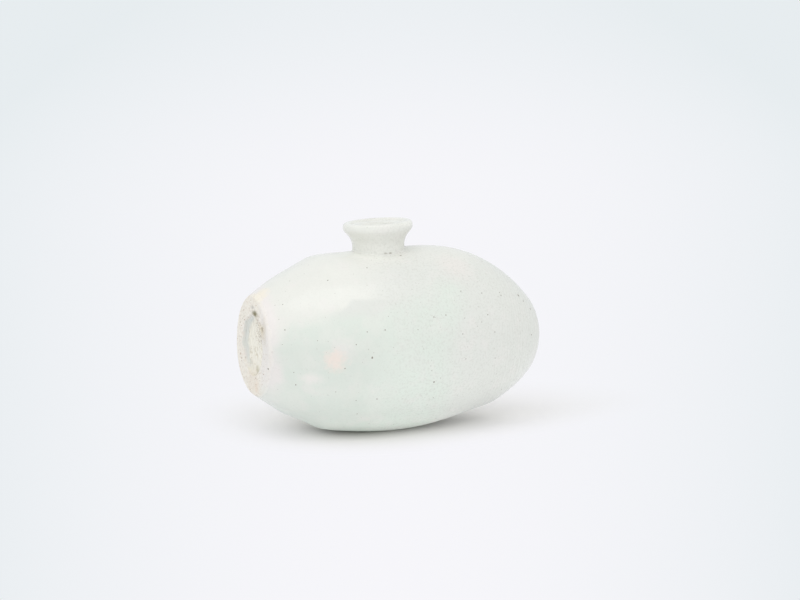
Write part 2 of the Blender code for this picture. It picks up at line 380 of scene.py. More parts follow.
@dataclass
class JarShape:
    """The thrown jar's outside, from the edge of its foot to the tip of its dome.

    The sizes are the CAD's, but for a foot radius that is 0.6 mm larger. Distances along the jar are from the
    foot's face. An angle of zero is straight down, a quarter turn faces the viewer and half a turn is the
    crown. The swell and the heights of rings are in millimetres.
    """

    length: float = 0.223
    flank_length: float = 0.0462
    crest_from_foot: float = 0.1116
    foot_radius: float = 0.0354
    foot_edge_round: float = 0.0020
    flank_angle: float = math.radians(36.0)
    turn_radius: float = 0.0609
    turn_angle: float = math.radians(28.6)
    belly_radius: float = 0.0669
    turn_carry: float = 0.0065
    belly_level: float = 0.0400
    shoulder_level: float = 0.0578
    dome_tip_blunt: float = 0.0436
    sag_from_foot: float = 0.0965
    belly_sag: float = 0.00155
    lift_from_foot: float = 0.1608
    shoulder_lift: float = 0.00186
    tip_droop: float = 0.00214
    flat_depth: float = 0.0016
    flat_softness: float = 0.00012
    floor_lean: float = 0.75
    floor_zone: tuple[float, float] = (0.002, 0.018)
    flank_swell: float = 0.95
    fuller: tuple[Fullness, ...] = (
        Fullness(0.90, 0.0265, 0.0110, fade=(0.30, 0.95)),
        Fullness(1.25, 0.1800, 0.0110, heading=0.30, fade=(0.70, 0.99)),
        Fullness(0.75, 0.2142, 0.0042),
    )
    ring_height: float = 0.030
    ring_pitch: float = 0.0083
    fine_ring_height: float = 0.040
    fine_ring_pitch: float = 0.0041
    calm_radius: float = 0.03
    wall: float = 0.0070
    base_thickness: float = 0.0100
    dome_seam_from_tip: float = 0.0350
    samples: int = 900
    arc: Array = field(init=False)
    along: Array = field(init=False)
    radius: Array = field(init=False)
    out_along: Array = field(init=False)
    out_radius: Array = field(init=False)
    foot_x: float = field(init=False)
    axis_height: float = field(init=False)

    def __post_init__(self) -> None:
        """Samples the outline by arc length and sets the height at which the jar lies on its flat."""
        outline = self.outline()
        steps = np.linalg.norm(np.diff(outline, axis=0), axis=1)
        self.arc = np.concatenate(([0.0], np.cumsum(steps)))
        tangent = unit(np.gradient(outline, self.arc, axis=0))
        self.along, self.radius = outline.T
        self.out_along, self.out_radius = -tangent[:, 1], tangent[:, 0]
        self.foot_x = -self.length / 2.0
        self.axis_height = float(np.max(self.radius - self.wander(self.along))) - self.flat_depth

    def outline(self) -> Array:
        """Distance from the foot and radius along a rounded edge, a flank, a belly and a dome.

        Each of the four is one Bezier stretch.

        Returns:
            The outline's points, one to a row.
        """
        flank_run = np.array((math.cos(self.flank_angle), math.sin(self.flank_angle)))
        turn_run = np.array((math.cos(self.turn_angle), math.sin(self.turn_angle)))
        corner = np.array((0.0, self.foot_radius))
        edge = corner - (0.0, self.foot_edge_round)
        flank = corner + self.foot_edge_round * flank_run
        turn = np.array((self.flank_length, self.turn_radius))
        crest = np.array((self.crest_from_foot, self.belly_radius))
        tip = np.array((self.length, 0.0))
        third = np.linalg.norm(turn - flank) / 3.0
        belly_handles = (turn + self.turn_carry * turn_run, crest - (self.belly_level, 0.0))
        dome_handles = (crest + (self.shoulder_level, 0.0), tip + (0.0, self.dome_tip_blunt))
        count = self.samples
        return np.concatenate(
            (
                bezier(edge, corner, corner, flank, count // 10),
                bezier(flank, flank + third * flank_run, turn - third * turn_run, turn, count)[1:],
                bezier(turn, *belly_handles, crest, count)[1:],
                bezier(crest, *dome_handles, tip, count)[1:],
            )
        )

    def wander(self, along: Array) -> Array:
        """Height of the section's centre above the foot's, eased by half a cosine between stations.

        Args:
            along: Distance from the foot.

        Returns:
            The height, in the shape of the distance.
        """
        stations = np.array((0.0, self.sag_from_foot, self.lift_from_foot, self.length))
        heights = np.array((0.0, -self.belly_sag, self.shoulder_lift, -self.tip_droop))
        before = np.clip(np.searchsorted(stations, along) - 1, 0, len(stations) - 2)
        share = np.clip((along - stations[before]) / (stations[before + 1] - stations[before]), 0.0, 1.0)
        swing = (1.0 - np.cos(math.pi * share)) / 2.0
        return heights[before] + (heights[before + 1] - heights[before]) * swing

    def unevenness(self, along: Array, angle: Array, radius: Array) -> Array:
        """How far the hand-thrown surface stands off its outline.

        Three slow waves run round and along the jar and die out at the tip. There are two sets of throwing
        rings, shallow ones over the belly and finer ones on the shoulder of the dome. The form is fuller
        along the whole flank, under the flank, under the dome and on the shoulder of the tip.

        Args:
            along: Distance from the foot.
            angle: Angle round the axis.
            radius: Radius there.

        Returns:
            The offset along the normal.
        """
        waves = 0.20 * np.sin(2 * angle + 31 * along + 3.1) + 0.15 * np.sin(3 * angle - 47 * along + 5.7)
        waves = waves + 0.10 * np.sin(5 * angle + 83 * along)
        belly = ease(along, 0.05, 0.08) * (1.0 - ease(along, 0.15, 0.19))
        dome = ease(along, 0.150, 0.172) * (1.0 - ease(along, 0.204, 0.216))
        phase = 2 * math.pi * along / self.ring_pitch
        fine_phase = 2 * math.pi * along / self.fine_ring_pitch
        rings = self.ring_height * belly * np.sin(phase + 0.9 * np.sin(angle))
        fine = self.fine_ring_height * dome * np.sin(fine_phase + 0.6 * np.sin(angle + 1.0))
        swell = self.flank_swell * ease(along, 0.0, 0.026) * (1.0 - ease(along, 0.042, 0.074))
        waves = waves * np.clip(radius / self.calm_radius, 0.0, 1.0)
        total = waves + rings + fine + swell
        for part in self.fuller:
            total = total + part.at(along, angle)
        return MM * total

    def surface(self, arc: Array, angle: Array, depth: float = 0.0) -> Array:
        """The jar's outside, or the face of its wall at a depth below it.

        The outline point is moved out along its normal by the unevenness, or in by the depth, and turned
        about the axis at the height of the wandering centre. The outside is pressed flat at the floor: its z
        becomes half the sum of z and the root of z squared plus a small square.

        Args:
            arc: Arc length from the foot's edge.
            angle: Angle round the axis.
            depth: Depth below the outside.

        Returns:
            Points, in the shape of the two parameters with three numbers each.
        """
        along, radius, out_along, out_radius = (
            np.interp(arc, self.arc, values)
            for values in (self.along, self.radius, self.out_along, self.out_radius)
        )
        lift = -depth if depth else self.unevenness(along, angle, radius)
        reach = radius + lift * out_radius
        along = along + lift * out_along
        x = self.foot_x + along
        y = -reach * np.sin(angle)
        z = self.axis_height + self.wander(along) - reach * np.cos(angle)
        if not depth:
            z = (z + np.sqrt(z * z + self.flat_softness**2)) / 2.0
        return np.stack(np.broadcast_arrays(x, y, z), -1)

    def normals(self, arc: Array, angle: Array, depth: float = 0.0) -> Array:
        """Normals of the surface out of the clay: the cross product of its two small differences.

        Close to the floor the outside's normals lean level, which keeps the glaze light down to the contact.

        Args:
            arc: Arc length from the foot's edge.
            angle: Angle round the axis.
            depth: Depth below the outside; below it the normals point into the hollow.

        Returns:
            Unit normals, in the shape of the two parameters with three numbers each.
        """
        step, turn = 0.0003, 0.004
        along = self.surface(arc + step, angle, depth) - self.surface(arc - step, angle, depth)
        around = self.surface(arc, angle + turn, depth) - self.surface(arc, angle - turn, depth)
        normals = np.cross(along, around) * (-1.0 if depth else 1.0)
        if not depth:
            close = 1.0 - ease(self.surface(arc, angle)[..., 2], *self.floor_zone)
            normals[..., 2] *= 1.0 - self.floor_lean * close
        return unit(normals)

    def arc_at(self, along: Array) -> Array:
        """Arc length from the foot's edge at a distance from the foot's face."""
        return np.interp(along, self.along, self.arc)

    def crown(self, x: Array, y: Array) -> Array:
        """Height of the upper half of the outside at a place in plan, on the circle of the section there.

        Args:
            x: Place along the bottle.
            y: Place across the bottle.

        Returns:
            The height above the floor.
        """
        along = x - self.foot_x
        radius = np.interp(along, self.along, self.radius)
        angle = math.pi + np.arcsin(np.clip(y / radius, -1.0, 1.0))
        reach = radius + self.unevenness(along, angle, radius)
        return self.axis_height + self.wander(along) + np.sqrt(reach * reach - y * y)

    def hit(self, origin: Array, directions: Array) -> tuple[Array, Array]:
        """Where rays from the camera first meet the jar, found by stepping along each ray.

        Args:
            origin: The camera's place.
            directions: One unit direction to a row.

        Returns:
            Arc length and angle of each first hit.
        """
        reach = float(np.linalg.norm(origin))
        steps = np.linspace(reach - self.length, reach + self.length / 2.0, 6000)
        points = origin + directions[:, None, :] * steps[None, :, None]
        along = points[..., 0] - self.foot_x
        rise = points[..., 2] - self.axis_height - self.wander(along)
        limit = np.interp(along, self.along, self.radius, left=-1.0, right=-1.0)
        first = np.argmax(np.hypot(points[..., 1], rise) < limit, axis=1)
        row = np.arange(len(directions))
        angle = np.arctan2(-points[row, first, 1], -rise[row, first])
        return self.arc_at(along[row, first]), angle


# Node trees


class NodeBench:
    """A material's node tree, with short calls for the nodes that the finishes share."""

    def __init__(self, name: str) -> None:
        """Starts a material with its Principled shader and the piece's Object coordinates.

        Args:
            name: The material's name.
        """
        self.material = bpy.data.materials.new(name)
        self.material.use_nodes = True
        self.tree = self.material.node_tree
        self.shader = self.tree.nodes["Principled BSDF"]
        self.place = self.add("ShaderNodeTexCoord").outputs["Object"]

    def add(self, kind: str, **settings: object) -> bpy.types.Node:
        """Adds a node and sets its properties.

        Args:
            kind: The node's type.
            settings: Its properties by name.

        Returns:
            The new node.
        """
        node = self.tree.nodes.new(kind)
        for key, value in settings.items():
            setattr(node, key, value)
        return node

    def feed(self, target: bpy.types.NodeSocket, value: object) -> None:
        """Links a socket to another, or sets its own value.

        Args:
            target: The input to feed.
            value: An output socket, or a plain value.
        """
        if isinstance(value, bpy.types.NodeSocket):
            self.tree.links.new(value, target)
        elif target.type == "RGBA" and len(value) == 3:
            target.default_value = (*value, 1.0)
        else:
            target.default_value = value

    def maths(self, operation: str, *values: object, clamp: bool = False) -> bpy.types.NodeSocket:
        """One Math node on one to three values.

        Args:
            operation: What it works out.
            values: Sockets or numbers.
            clamp: Whether it stays in 0 to 1.

        Returns:
            The result.
        """
        node = self.add("ShaderNodeMath", operation=operation, use_clamp=clamp)
        for target, value in zip(node.inputs, values):
            self.feed(target, value)
        return node.outputs[0]

    def times(self, first: object, second: object, clamp: bool = False) -> bpy.types.NodeSocket:
        """The product of two values."""
        return self.maths("MULTIPLY", first, second, clamp=clamp)

    def vector(self, operation: str, *values: object) -> bpy.types.Node:
        """One Vector Math node, whose outputs are Vector and Value.

        Args:
            operation: What it works out.
            values: Sockets or triples.

        Returns:
            The node.
        """
        node = self.add("ShaderNodeVectorMath", operation=operation)
        for target, value in zip(node.inputs, values):
            self.feed(target, value)
        return node

    def step(self, value: object, low: float, high: float) -> bpy.types.NodeSocket:
        """A smooth step from 0 at low to 1 at high. Low may be the larger, and the step then falls.

        Args:
            value: What is stepped.
            low: Where the step is 0.
            high: Where the step is 1.

        Returns:
            The step, from 0 to 1.
        """
        node = self.add("ShaderNodeMapRange", interpolation_type="SMOOTHSTEP")
        rising = low < high
        ends = (low, high, 0.0, 1.0) if rising else (high, low, 1.0, 0.0)
        self.feed(node.inputs[0], value)
        for target, end in zip(node.inputs[1:5], ends):
            self.feed(target, end)
        return node.outputs[0]

    def mix(self, share: object, first: object, second: object) -> bpy.types.NodeSocket:
        """Two colours mixed by a share.

        Args:
            share: Share of the second.
            first: First colour.
            second: Second colour.

        Returns:
            The mixed colour.
        """
        node = self.add("ShaderNodeMix", data_type="RGBA")
        for index, value in ((0, share), (6, first), (7, second)):
            self.feed(node.inputs[index], value)
        return node.outputs[2]

    def between(self, share: object, first: object, second: object) -> bpy.types.NodeSocket:
        """Two numbers mixed by a share.

        Args:
            share: Share of the second.
            first: First number.
            second: Second number.

        Returns:
            The mixed number.
        """
        node = self.add("ShaderNodeMix", data_type="FLOAT")
        for index, value in ((0, share), (2, first), (3, second)):
            self.feed(node.inputs[index], value)
        return node.outputs[0]

    def noise(
        self, scale: float, detail: float = 3.0, offset: Place = (0.0, 0.0, 0.0)
    ) -> bpy.types.NodeSocket:
        """Noise about one half, with its scale in cycles to the metre.

        Args:
            scale: Cycles to the metre.
            detail: Number of octaves.
            offset: Shift of the pattern.

        Returns:
            The noise.
        """
        moved = self.vector("ADD", self.place, offset).outputs["Vector"]
        node = self.add("ShaderNodeTexNoise")
        for key, value in (("Vector", moved), ("Scale", scale), ("Detail", detail), ("Roughness", 0.55)):
            self.feed(node.inputs[key], value)
        return node.outputs[0]

    def turned(self, offset: Place, angle: float) -> bpy.types.NodeSocket:
        """The place, turned about the upright axis and then moved.

        Args:
            offset: The move after the turn.
            angle: The turn, in radians.

        Returns:
            The new place.
        """
        node = self.add("ShaderNodeMapping")
        self.feed(node.inputs["Vector"], self.place)
        node.inputs["Location"].default_value = offset
        node.inputs["Rotation"].default_value = (0.0, 0.0, angle)
        return node.outputs["Vector"]

    def dots(self, scale: float, size: float, kept: float, offset: Place) -> bpy.types.NodeSocket:
        """Scattered round dots, one to a Voronoi cell at most.

        Args:
            scale: Cells to the metre.
            size: Greatest radius of a dot, as a share of a cell.
            kept: Share of the cells that hold a dot.
            offset: Shift of the pattern.

        Returns:
            A mask from 0 to 1, weaker in some dots than in others.
        """
        moved = self.vector("ADD", self.place, offset).outputs["Vector"]
        node = self.add("ShaderNodeTexVoronoi")
        self.feed(node.inputs["Vector"], moved)
        self.feed(node.inputs["Scale"], scale)
        chance = self.add("ShaderNodeSeparateColor")
        self.feed(chance.inputs[0], node.outputs["Color"])
        present = self.step(chance.outputs[0], 1.0 - kept, 1.0)
        reach = self.times(self.between(chance.outputs[1], 0.5, 1.0), size)
        close = self.maths("DIVIDE", node.outputs["Distance"], reach)
        return self.times(self.step(close, 1.0, 0.35), present)

    def distance(self, centre: Place) -> bpy.types.NodeSocket:
        """Distance from a place on the bottle."""
        return self.vector("DISTANCE", self.place, centre).outputs["Value"]

    def scaled(self, colour: object, factor: object) -> bpy.types.NodeSocket:
        """A colour made lighter or darker by a factor.

        Args:
            colour: The colour.
            factor: The factor.

        Returns:
            The new colour.
        """
        node = self.vector("SCALE", colour)
        self.feed(node.inputs["Scale"], factor)
        return node.outputs["Vector"]

    def dress(self, colour: object, roughness: object, shine: object = None) -> None:
        """Gives the shader its colour, its roughness and, if it isn't the usual one, its specular level.

        Args:
            colour: The base colour.
            roughness: The roughness.
            shine: The specular level, or None.
        """
        settings = {"Base Color": colour, "Roughness": roughness, "Specular IOR Level": shine}
        for key, value in settings.items():
            if value is not None:
                self.feed(self.shader.inputs[key], value)

    def axis(self, name: str) -> bpy.types.NodeSocket:
        """One of the three Object coordinates.

        Args:
            name: X, Y or Z.

        Returns:
            The coordinate.
        """
        node = self.add("ShaderNodeSeparateXYZ")
        self.feed(node.inputs[0], self.place)
        return node.outputs[name]

    def bump(self, height: object, strength: float, distance: float) -> None:
        """Lays a height over the shader's normal.

        Args:
            height: The height.
            strength: How strongly it shows.
            distance: Its full height in metres.
        """
        node = self.add("ShaderNodeBump")
        for key, value in (("Height", height), ("Strength", strength), ("Distance", distance)):
            self.feed(node.inputs[key], value)
        self.feed(self.shader.inputs["Normal"], node.outputs[0])


# Finishes


@dataclass(frozen=True)
class Stain:
    """A soft-edged patch of another colour on the glaze or the clay, seen at a pixel of the photograph."""

    pixel: tuple[float, float]
    radius: float
    colour: Colour
    strength: float
    stretch: Place = (1.0, 1.0, 1.0)
    ground: Ground = Ground.SIDE

    def centre(self, jar: JarShape, camera: PhotoCamera) -> Array:
        """Where the patch lies on the jar.

        Args:
            jar: The jar's form.
            camera: The photograph's viewpoint.

        Returns:
            The point under the patch's middle pixel.
        """
        origin = camera.place()
        rays = camera.rays(np.array([self.pixel]))
        if self.ground is Ground.FOOT:
            return origin + rays[0] * (jar.foot_x - origin[0]) / rays[0, 0]
        arc, angle = jar.hit(origin, rays)
        return jar.surface(arc, angle)[0]

    def placed(self, jar: JarShape, camera: PhotoCamera) -> "PlacedStain":
        """The stain with its place, as centre finds it."""
        return PlacedStain(self, tuple(self.centre(jar, camera).tolist()))


@dataclass(frozen=True)
class PlacedStain:
    """A stain with its place on the jar worked out."""

    stain: Stain
    centre: Place


@dataclass(frozen=True)
class GlazeZones:
    """Where on the bottle the glaze is: the sockets that the parts of its paint share.

    Along and height are the coordinates with the drift of slow noise. Dry_end rises towards the dome, and
    band is a matt band under a border that drops towards the foot, under the highlight's edge; the tint greys
    its top as painted shade. Level is the height seen from that border.
    """

    x: bpy.types.NodeSocket
    z: bpy.types.NodeSocket
    drift: bpy.types.NodeSocket
    along: bpy.types.NodeSocket
    height: bpy.types.NodeSocket
    dry_end: bpy.types.NodeSocket
    level: bpy.types.NodeSocket
    band: bpy.types.NodeSocket


@dataclass(frozen=True)
class GlazeFinish:
    """Pale porcelain glaze: glossier and greener at the foot end, dry and grainy towards the dome."""

    name: str
    stains: tuple[PlacedStain, ...]
    white: Colour = (0.800, 0.800, 0.748)
    green: Colour = (0.720, 0.767, 0.703)
    grey: Colour = (0.738, 0.748, 0.705)
    flash: Colour = (0.845, 0.792, 0.772)
    iron: Colour = (0.20, 0.165, 0.115)
    mottle: Colour = (0.70, 0.715, 0.665)
    ring: Colour = (0.62, 0.62, 0.57)
    sand: Colour = (0.52, 0.51, 0.46)
    roughness: float = 0.235
    shine: float = 0.35
    dull: float = 0.10
    foot_x: float = -0.1115
    neck_x: float = -0.0139
    neck_half: float = 0.03

    def stained(self, bench: NodeBench, colour: object) -> bpy.types.NodeSocket:
        """Lays the stains over a colour, each within its radius and with a ragged edge.

        Args:
            bench: The material's nodes.
            colour: The colour so far.

        Returns:
            The stained colour.
        """
        ragged = bench.maths("SUBTRACT", bench.noise(320.0, 5.0), 0.5)
        for placed in self.stains:
            stain = placed.stain
            offset = bench.vector("SUBTRACT", bench.place, placed.centre).outputs["Vector"]
            scaled = bench.vector("DIVIDE", offset, tuple(stain.radius * part for part in stain.stretch))
            length = bench.vector("LENGTH", scaled.outputs["Vector"]).outputs["Value"]
            edge = bench.maths("MULTIPLY_ADD", ragged, 1.1, length)
            share = bench.times(bench.step(edge, 1.25, 0.10), stain.strength)
            colour = bench.mix(share, colour, stain.colour)
        return colour

    def neck_shade_and_tone(self, bench: NodeBench) -> bpy.types.NodeSocket:
        """How much paler or darker the glaze is round the neck, partly as painted light and shade.

        Painted light and shade make it paler on the foot's side and darker on the dome's side. It is also
        paler near the root, and at the rim on the dome's side.

        Args:
            bench: The material's nodes.

        Returns:
            A factor for the colour, 1 away from the neck.
        """
        x, z = bench.axis("X"), bench.axis("Z")
        offset = bench.vector("SUBTRACT", bench.place, (self.neck_x, 0.0, 0.0)).outputs["Vector"]
        plan = bench.vector("MULTIPLY", offset, (1.0, 1.0, 0.0)).outputs["Vector"]
        reach = bench.vector("LENGTH", plan).outputs["Value"]
        near = bench.times(bench.step(reach, 0.034, 0.025), bench.step(z, 0.116, 0.128))
        # Painted light and shade: a little lighter on the foot's side of the neck, darker on the dome's side.
        painted_side_shading = bench.step(x, self.neck_x - self.neck_half, self.neck_x + self.neck_half)
        painted_side_shading = bench.between(painted_side_shading, 0.015, -0.060)
        paler_root = bench.times(bench.step(z, 0.141, 0.135), 0.050)
        rim = bench.times(bench.step(z, 0.1485, 0.1520), bench.step(x, -0.016, 0.004))
        tone = bench.maths("MULTIPLY_ADD", rim, 0.080, bench.maths("ADD", painted_side_shading, paler_root))
        return bench.maths("MULTIPLY_ADD", near, tone, 1.0)

    def zones(self, bench: NodeBench) -> GlazeZones:
        """Works out where on the bottle the glaze is.

        Args:
            bench: The material's nodes.

        Returns:
            The sockets that the paint shares.
        """
        x, z = bench.axis("X"), bench.axis("Z")
        drift = bench.times(bench.maths("SUBTRACT", bench.noise(17.0, 3.0), 0.5), 0.05)
        along = bench.maths("ADD", x, drift)
        height = bench.maths("ADD", z, drift)
        dry_end = bench.step(along, -0.046, -0.012)
        drop = bench.maths("MINIMUM", bench.maths("MULTIPLY_ADD", along, 0.43, 0.0211), 0.0)
        level = bench.maths("SUBTRACT", z, drop)
        band = bench.times(bench.step(level, 0.1046, 0.1014), bench.step(along, -0.080, -0.062))
        return GlazeZones(x, z, drift, along, height, dry_end, level, band)

    def tint(self, bench: NodeBench, zones: GlazeZones) -> bpy.types.NodeSocket:
        """The glaze's colour before shading and specks.

        White turns grey towards the dome and green low at the foot end, and is greyed as painted shade in the
        top of the matt band under the highlight's border. Mottling, warm flashes, rings on the dome, a blush
        at the foot's edge and the stains lie over that.

        Args:
            bench: The material's nodes.
            zones: Where the glaze is.

        Returns:
            The colour.
        """
        leaning = bench.maths("MULTIPLY_ADD", zones.along, -0.20, zones.height)
        green = bench.times(bench.step(leaning, 0.112, 0.095), bench.step(zones.along, 0.034, 0.010))
        patchy = bench.step(bench.noise(55.0, 4.0, (0.9, 0.2, 0.5)), 0.34, 0.64)
        green = bench.times(green, bench.between(patchy, 0.62, 1.08), clamp=True)
        side = bench.times(zones.dry_end, bench.step(zones.height, 0.140, 0.114))
        # Painted shade: the top of the matt band under the highlight's border is greyed.
        side = bench.maths("MAXIMUM", side, bench.times(zones.band, bench.step(zones.level, 0.086, 0.094)))
        colour = bench.mix(side, self.white, self.grey)
        colour = bench.mix(green, colour, self.green)
        mottle = bench.step(bench.noise(95.0, 5.0, (0.3, 0.1, 0.0)), 0.30, 0.72)
        colour = bench.mix(bench.times(mottle, 0.16), colour, self.mottle)
        warm = bench.step(bench.noise(75.0, 4.0, (0.2, 0.7, 0.9)), 0.50, 0.72)
        colour = bench.mix(bench.times(warm, 0.22), colour, self.flash)
        swirl = bench.maths("MULTIPLY_ADD", bench.noise(120.0, 3.0), 0.0030, zones.x)
        ring = bench.step(bench.maths("SINE", bench.times(swirl, 2400.0)), 0.1, 1.0)
        ring = bench.times(ring, bench.step(zones.along, 0.040, 0.072))
        colour = bench.mix(bench.times(ring, 0.20), colour, self.ring)
        foot = bench.maths("SUBTRACT", zones.along, self.foot_x)
        blush = bench.times(bench.step(foot, 0.0135, 0.005), 0.75)
        blush = bench.times(blush, bench.between(bench.step(zones.z, 0.046, 0.032), 1.0, 0.3))
        colour = bench.mix(blush, colour, self.flash)
        return self.stained(bench, colour)

    def tone(self, bench: NodeBench, zones: GlazeZones) -> bpy.types.NodeSocket:
        """How much lighter or darker the glaze is painted: lighter low down, as painted light, and darker low
        at the foot end, as painted shade.

        The painted shade and tone round the neck come on top of that.

        Args:
            bench: The material's nodes.
            zones: Where the glaze is.

        Returns:
            A factor for the colour.
        """
        # Painted light: lighter low down, and lighter still close to the floor.
        low = bench.between(bench.step(zones.z, 0.080, 0.034), 1.0, 1.09)
        low = bench.times(low, bench.between(bench.step(zones.z, 0.023, 0.004), 1.0, 1.17))
        # Painted shade: darker low at the foot end.
        foot_end_shade = bench.times(bench.step(zones.along, -0.022, -0.056), bench.step(zones.z, 0.090, 0.060))
        low = bench.times(low, bench.between(foot_end_shade, 1.0, 0.94))
        return bench.times(low, self.neck_shade_and_tone(bench))

    def speckled(self, bench: NodeBench, zones: GlazeZones, colour: object) -> bpy.types.NodeSocket:
        """Lays fine iron specks and a sandy grain over a colour, more of both towards the dome.

        Args:
            bench: The material's nodes.
            zones: Where the glaze is.
            colour: The colour so far.

        Returns:
            The speckled colour.
        """
        coarse = bench.dots(230.0, 0.15, 0.50, (0.7, 0.2, 0.4))
        fine = bench.dots(420.0, 0.27, 0.55, (0.1, 0.9, 0.3))
        grain = bench.times(fine, bench.between(zones.dry_end, 0.10, 0.26))
        specks = bench.maths("MAXIMUM", bench.times(coarse, 0.34), grain)
        colour = bench.mix(specks, colour, self.iron)
        sandy = bench.step(bench.noise(640.0, 4.0, (0.6, 0.3, 0.8)), 0.44, 0.74)
        sandy = bench.times(sandy, bench.between(zones.dry_end, 0.07, 0.26))
        return bench.mix(sandy, colour, self.sand)

    def gloss(self, bench: NodeBench, zones: GlazeZones) -> bpy.types.NodeSocket:
        """The specular level: dull in the matt band and towards the dome, where it begins sooner low down.

        Args:
            bench: The material's nodes.
            zones: Where the glaze is.

        Returns:
            The specular level.
        """
        below = bench.maths("MINIMUM", bench.maths("SUBTRACT", 0.098, zones.z), 0.014)
        wiped = bench.maths("MULTIPLY_ADD", below, 2.0, zones.along)
        matt = bench.maths("MAXIMUM", bench.step(wiped, -0.056, -0.024), zones.band)
        return bench.between(matt, self.shine, self.dull)

    def relief(self, bench: NodeBench, zones: GlazeZones) -> bpy.types.NodeSocket:
        """The height of the surface: orange peel, a grit that grows towards the dome, and pinholes.

        Args:
            bench: The material's nodes.
            zones: Where the glaze is.

        Returns:
            The height.
        """
        grit = bench.times(bench.noise(1500.0, 3.0), bench.between(zones.dry_end, 0.08, 0.42))
        raised = bench.maths("MULTIPLY_ADD", bench.noise(330.0, 3.0), 0.55, grit)
        pits = bench.dots(400.0, 0.12, 0.20, (0.5, 0.5, 0.1))
        return bench.maths("SUBTRACT", raised, bench.times(pits, 0.35))

    def paint(self, bench: NodeBench) -> tuple[bpy.types.NodeSocket, ...]:
        """Works out the glaze's colour, roughness, shine and height from the place on the bottle.

        Args:
            bench: The material's nodes.

        Returns:
            Colour, roughness, specular level and height sockets.
        """
        zones = self.zones(bench)
        # The tone lays painted light and shade over the glaze's colour.
        colour = bench.scaled(self.tint(bench, zones), self.tone(bench, zones))
        colour = self.speckled(bench, zones, colour)
        roughness = bench.maths("ADD", zones.drift, self.roughness)
        return colour, roughness, self.gloss(bench, zones), self.relief(bench, zones)

    def material(self) -> bpy.types.Material:
        """Makes the glaze's material.

        Returns:
            The material.
        """
        bench = NodeBench(self.name)
        colour, roughness, shine, height = self.paint(bench)
        bench.dress(colour, roughness, shine)
        bench.bump(height, 0.35, 0.00018)
        return bench.material


@dataclass(frozen=True)
class FootFinish:
    """The foot: glaze on the flank, bare sandy clay on the land, thin grey glaze in the trimmed recess."""

    glaze: GlazeFinish
    heap: PlacedStain
    axis_height: float
    recess_radius: float
    land: Colour = (0.858, 0.826, 0.750)
    land_shade: Colour = (0.790, 0.725, 0.645)
    recess_wall: Colour = (0.718, 0.732, 0.688)
    recess_floor: Colour = (0.862, 0.828, 0.725)
    streak: Colour = (0.520, 0.450, 0.300)
    grit: Colour = (0.300, 0.235, 0.170)
    land_roughness: float = 0.88

    def material(self) -> bpy.types.Material:
        """Makes the foot's material, by distance from the jar's axis and from the foot's face.

        Returns:
            The material.
        """
        bench = NodeBench("foot_finish")
        x, y, z = (bench.axis(name) for name in "XYZ")
        glaze_colour, glaze_roughness, shine, glaze_height = self.glaze.paint(bench)
        offset = bench.vector("SUBTRACT", bench.place, (0.0, 0.0, self.axis_height)).outputs["Vector"]
        flat = bench.vector("MULTIPLY", offset, (0.0, 1.0, 1.0)).outputs["Vector"]
        radius = bench.vector("LENGTH", flat).outputs["Value"]
        ragged = bench.times(bench.maths("SUBTRACT", bench.noise(150.0, 5.0), 0.5), 0.006)
        radius = bench.maths("ADD", radius, ragged)
        inwards = bench.maths("SUBTRACT", x, self.glaze.foot_x)
        bare = bench.times(
            bench.step(bench.maths("ADD", inwards, ragged), 0.0030, 0.0008),
            bench.step(radius, self.recess_radius - 0.0012, self.recess_radius + 0.0012),
        )
        thin = bench.step(bench.maths("ADD", y, ragged), -0.012, -0.024)
        bare = bench.times(bare, bench.between(thin, 1.0, 0.30))
        sand = bench.step(bench.noise(430.0, 6.0), 0.44, 0.68)
        land = bench.mix(sand, self.land, self.land_shade)
        wall = bench.step(radius, self.recess_radius - 0.0060, self.recess_radius - 0.0016)
        far = bench.step(bench.maths("ADD", y, ragged), 0.000, 0.009)
        far = bench.times(far, bench.step(z, self.axis_height - 0.020, self.axis_height - 0.010))
        wall = bench.times(wall, far)
        streaks = bench.step(bench.noise(260.0, 5.0, (0.2, 0.4, 0.6)), 0.56, 0.66)
        floor = bench.mix(bench.times(streaks, 0.55), self.recess_floor, self.streak)
        recess = bench.mix(wall, floor, self.recess_wall)
        inside = bench.times(
            bench.step(inwards, 0.0200, 0.0060),
            bench.step(radius, self.recess_radius + 0.0004, self.recess_radius - 0.0010),
        )
        colour = bench.mix(inside, glaze_colour, recess)
        colour = bench.mix(bare, colour, land)
        rim = bench.maths("ABSOLUTE", bench.maths("SUBTRACT", radius, self.recess_radius))
        # A darker brown band along the upper near edge of the recess.
        rim_darkening = bench.times(bench.step(rim, 0.0016, 0.0004), bench.step(y, 0.000, -0.009))
        upper = bench.step(z, self.axis_height - 0.006, self.axis_height + 0.006)
        colour = bench.mix(bench.times(bench.times(rim_darkening, upper), 0.40), colour, self.grit)
        colour = self.glaze.stained(bench, colour)
        bits = bench.dots(330.0, 0.46, 0.90, (0.4, 0.8, 0.1))
        colour = bench.mix(bench.times(bits, bench.between(bare, 0.0, 0.90)), colour, self.grit)
        heap = self.heap.stain
        near = bench.distance(self.heap.centre)
        crumbs = bench.step(bench.noise(720.0, 4.0, (0.2, 0.3, 0.9)), 0.51, 0.60)
        crumbs = bench.times(crumbs, bench.step(near, heap.radius, heap.radius * 0.4))
        colour = bench.mix(bench.times(crumbs, heap.strength), colour, heap.colour)
        bench.dress(colour, bench.between(bare, glaze_roughness, self.land_roughness), shine)
        sandy = bench.times(bench.noise(900.0, 5.0), 1.6)
        bench.bump(bench.between(bare, glaze_height, sandy), 0.6, 0.0003)
        return bench.material


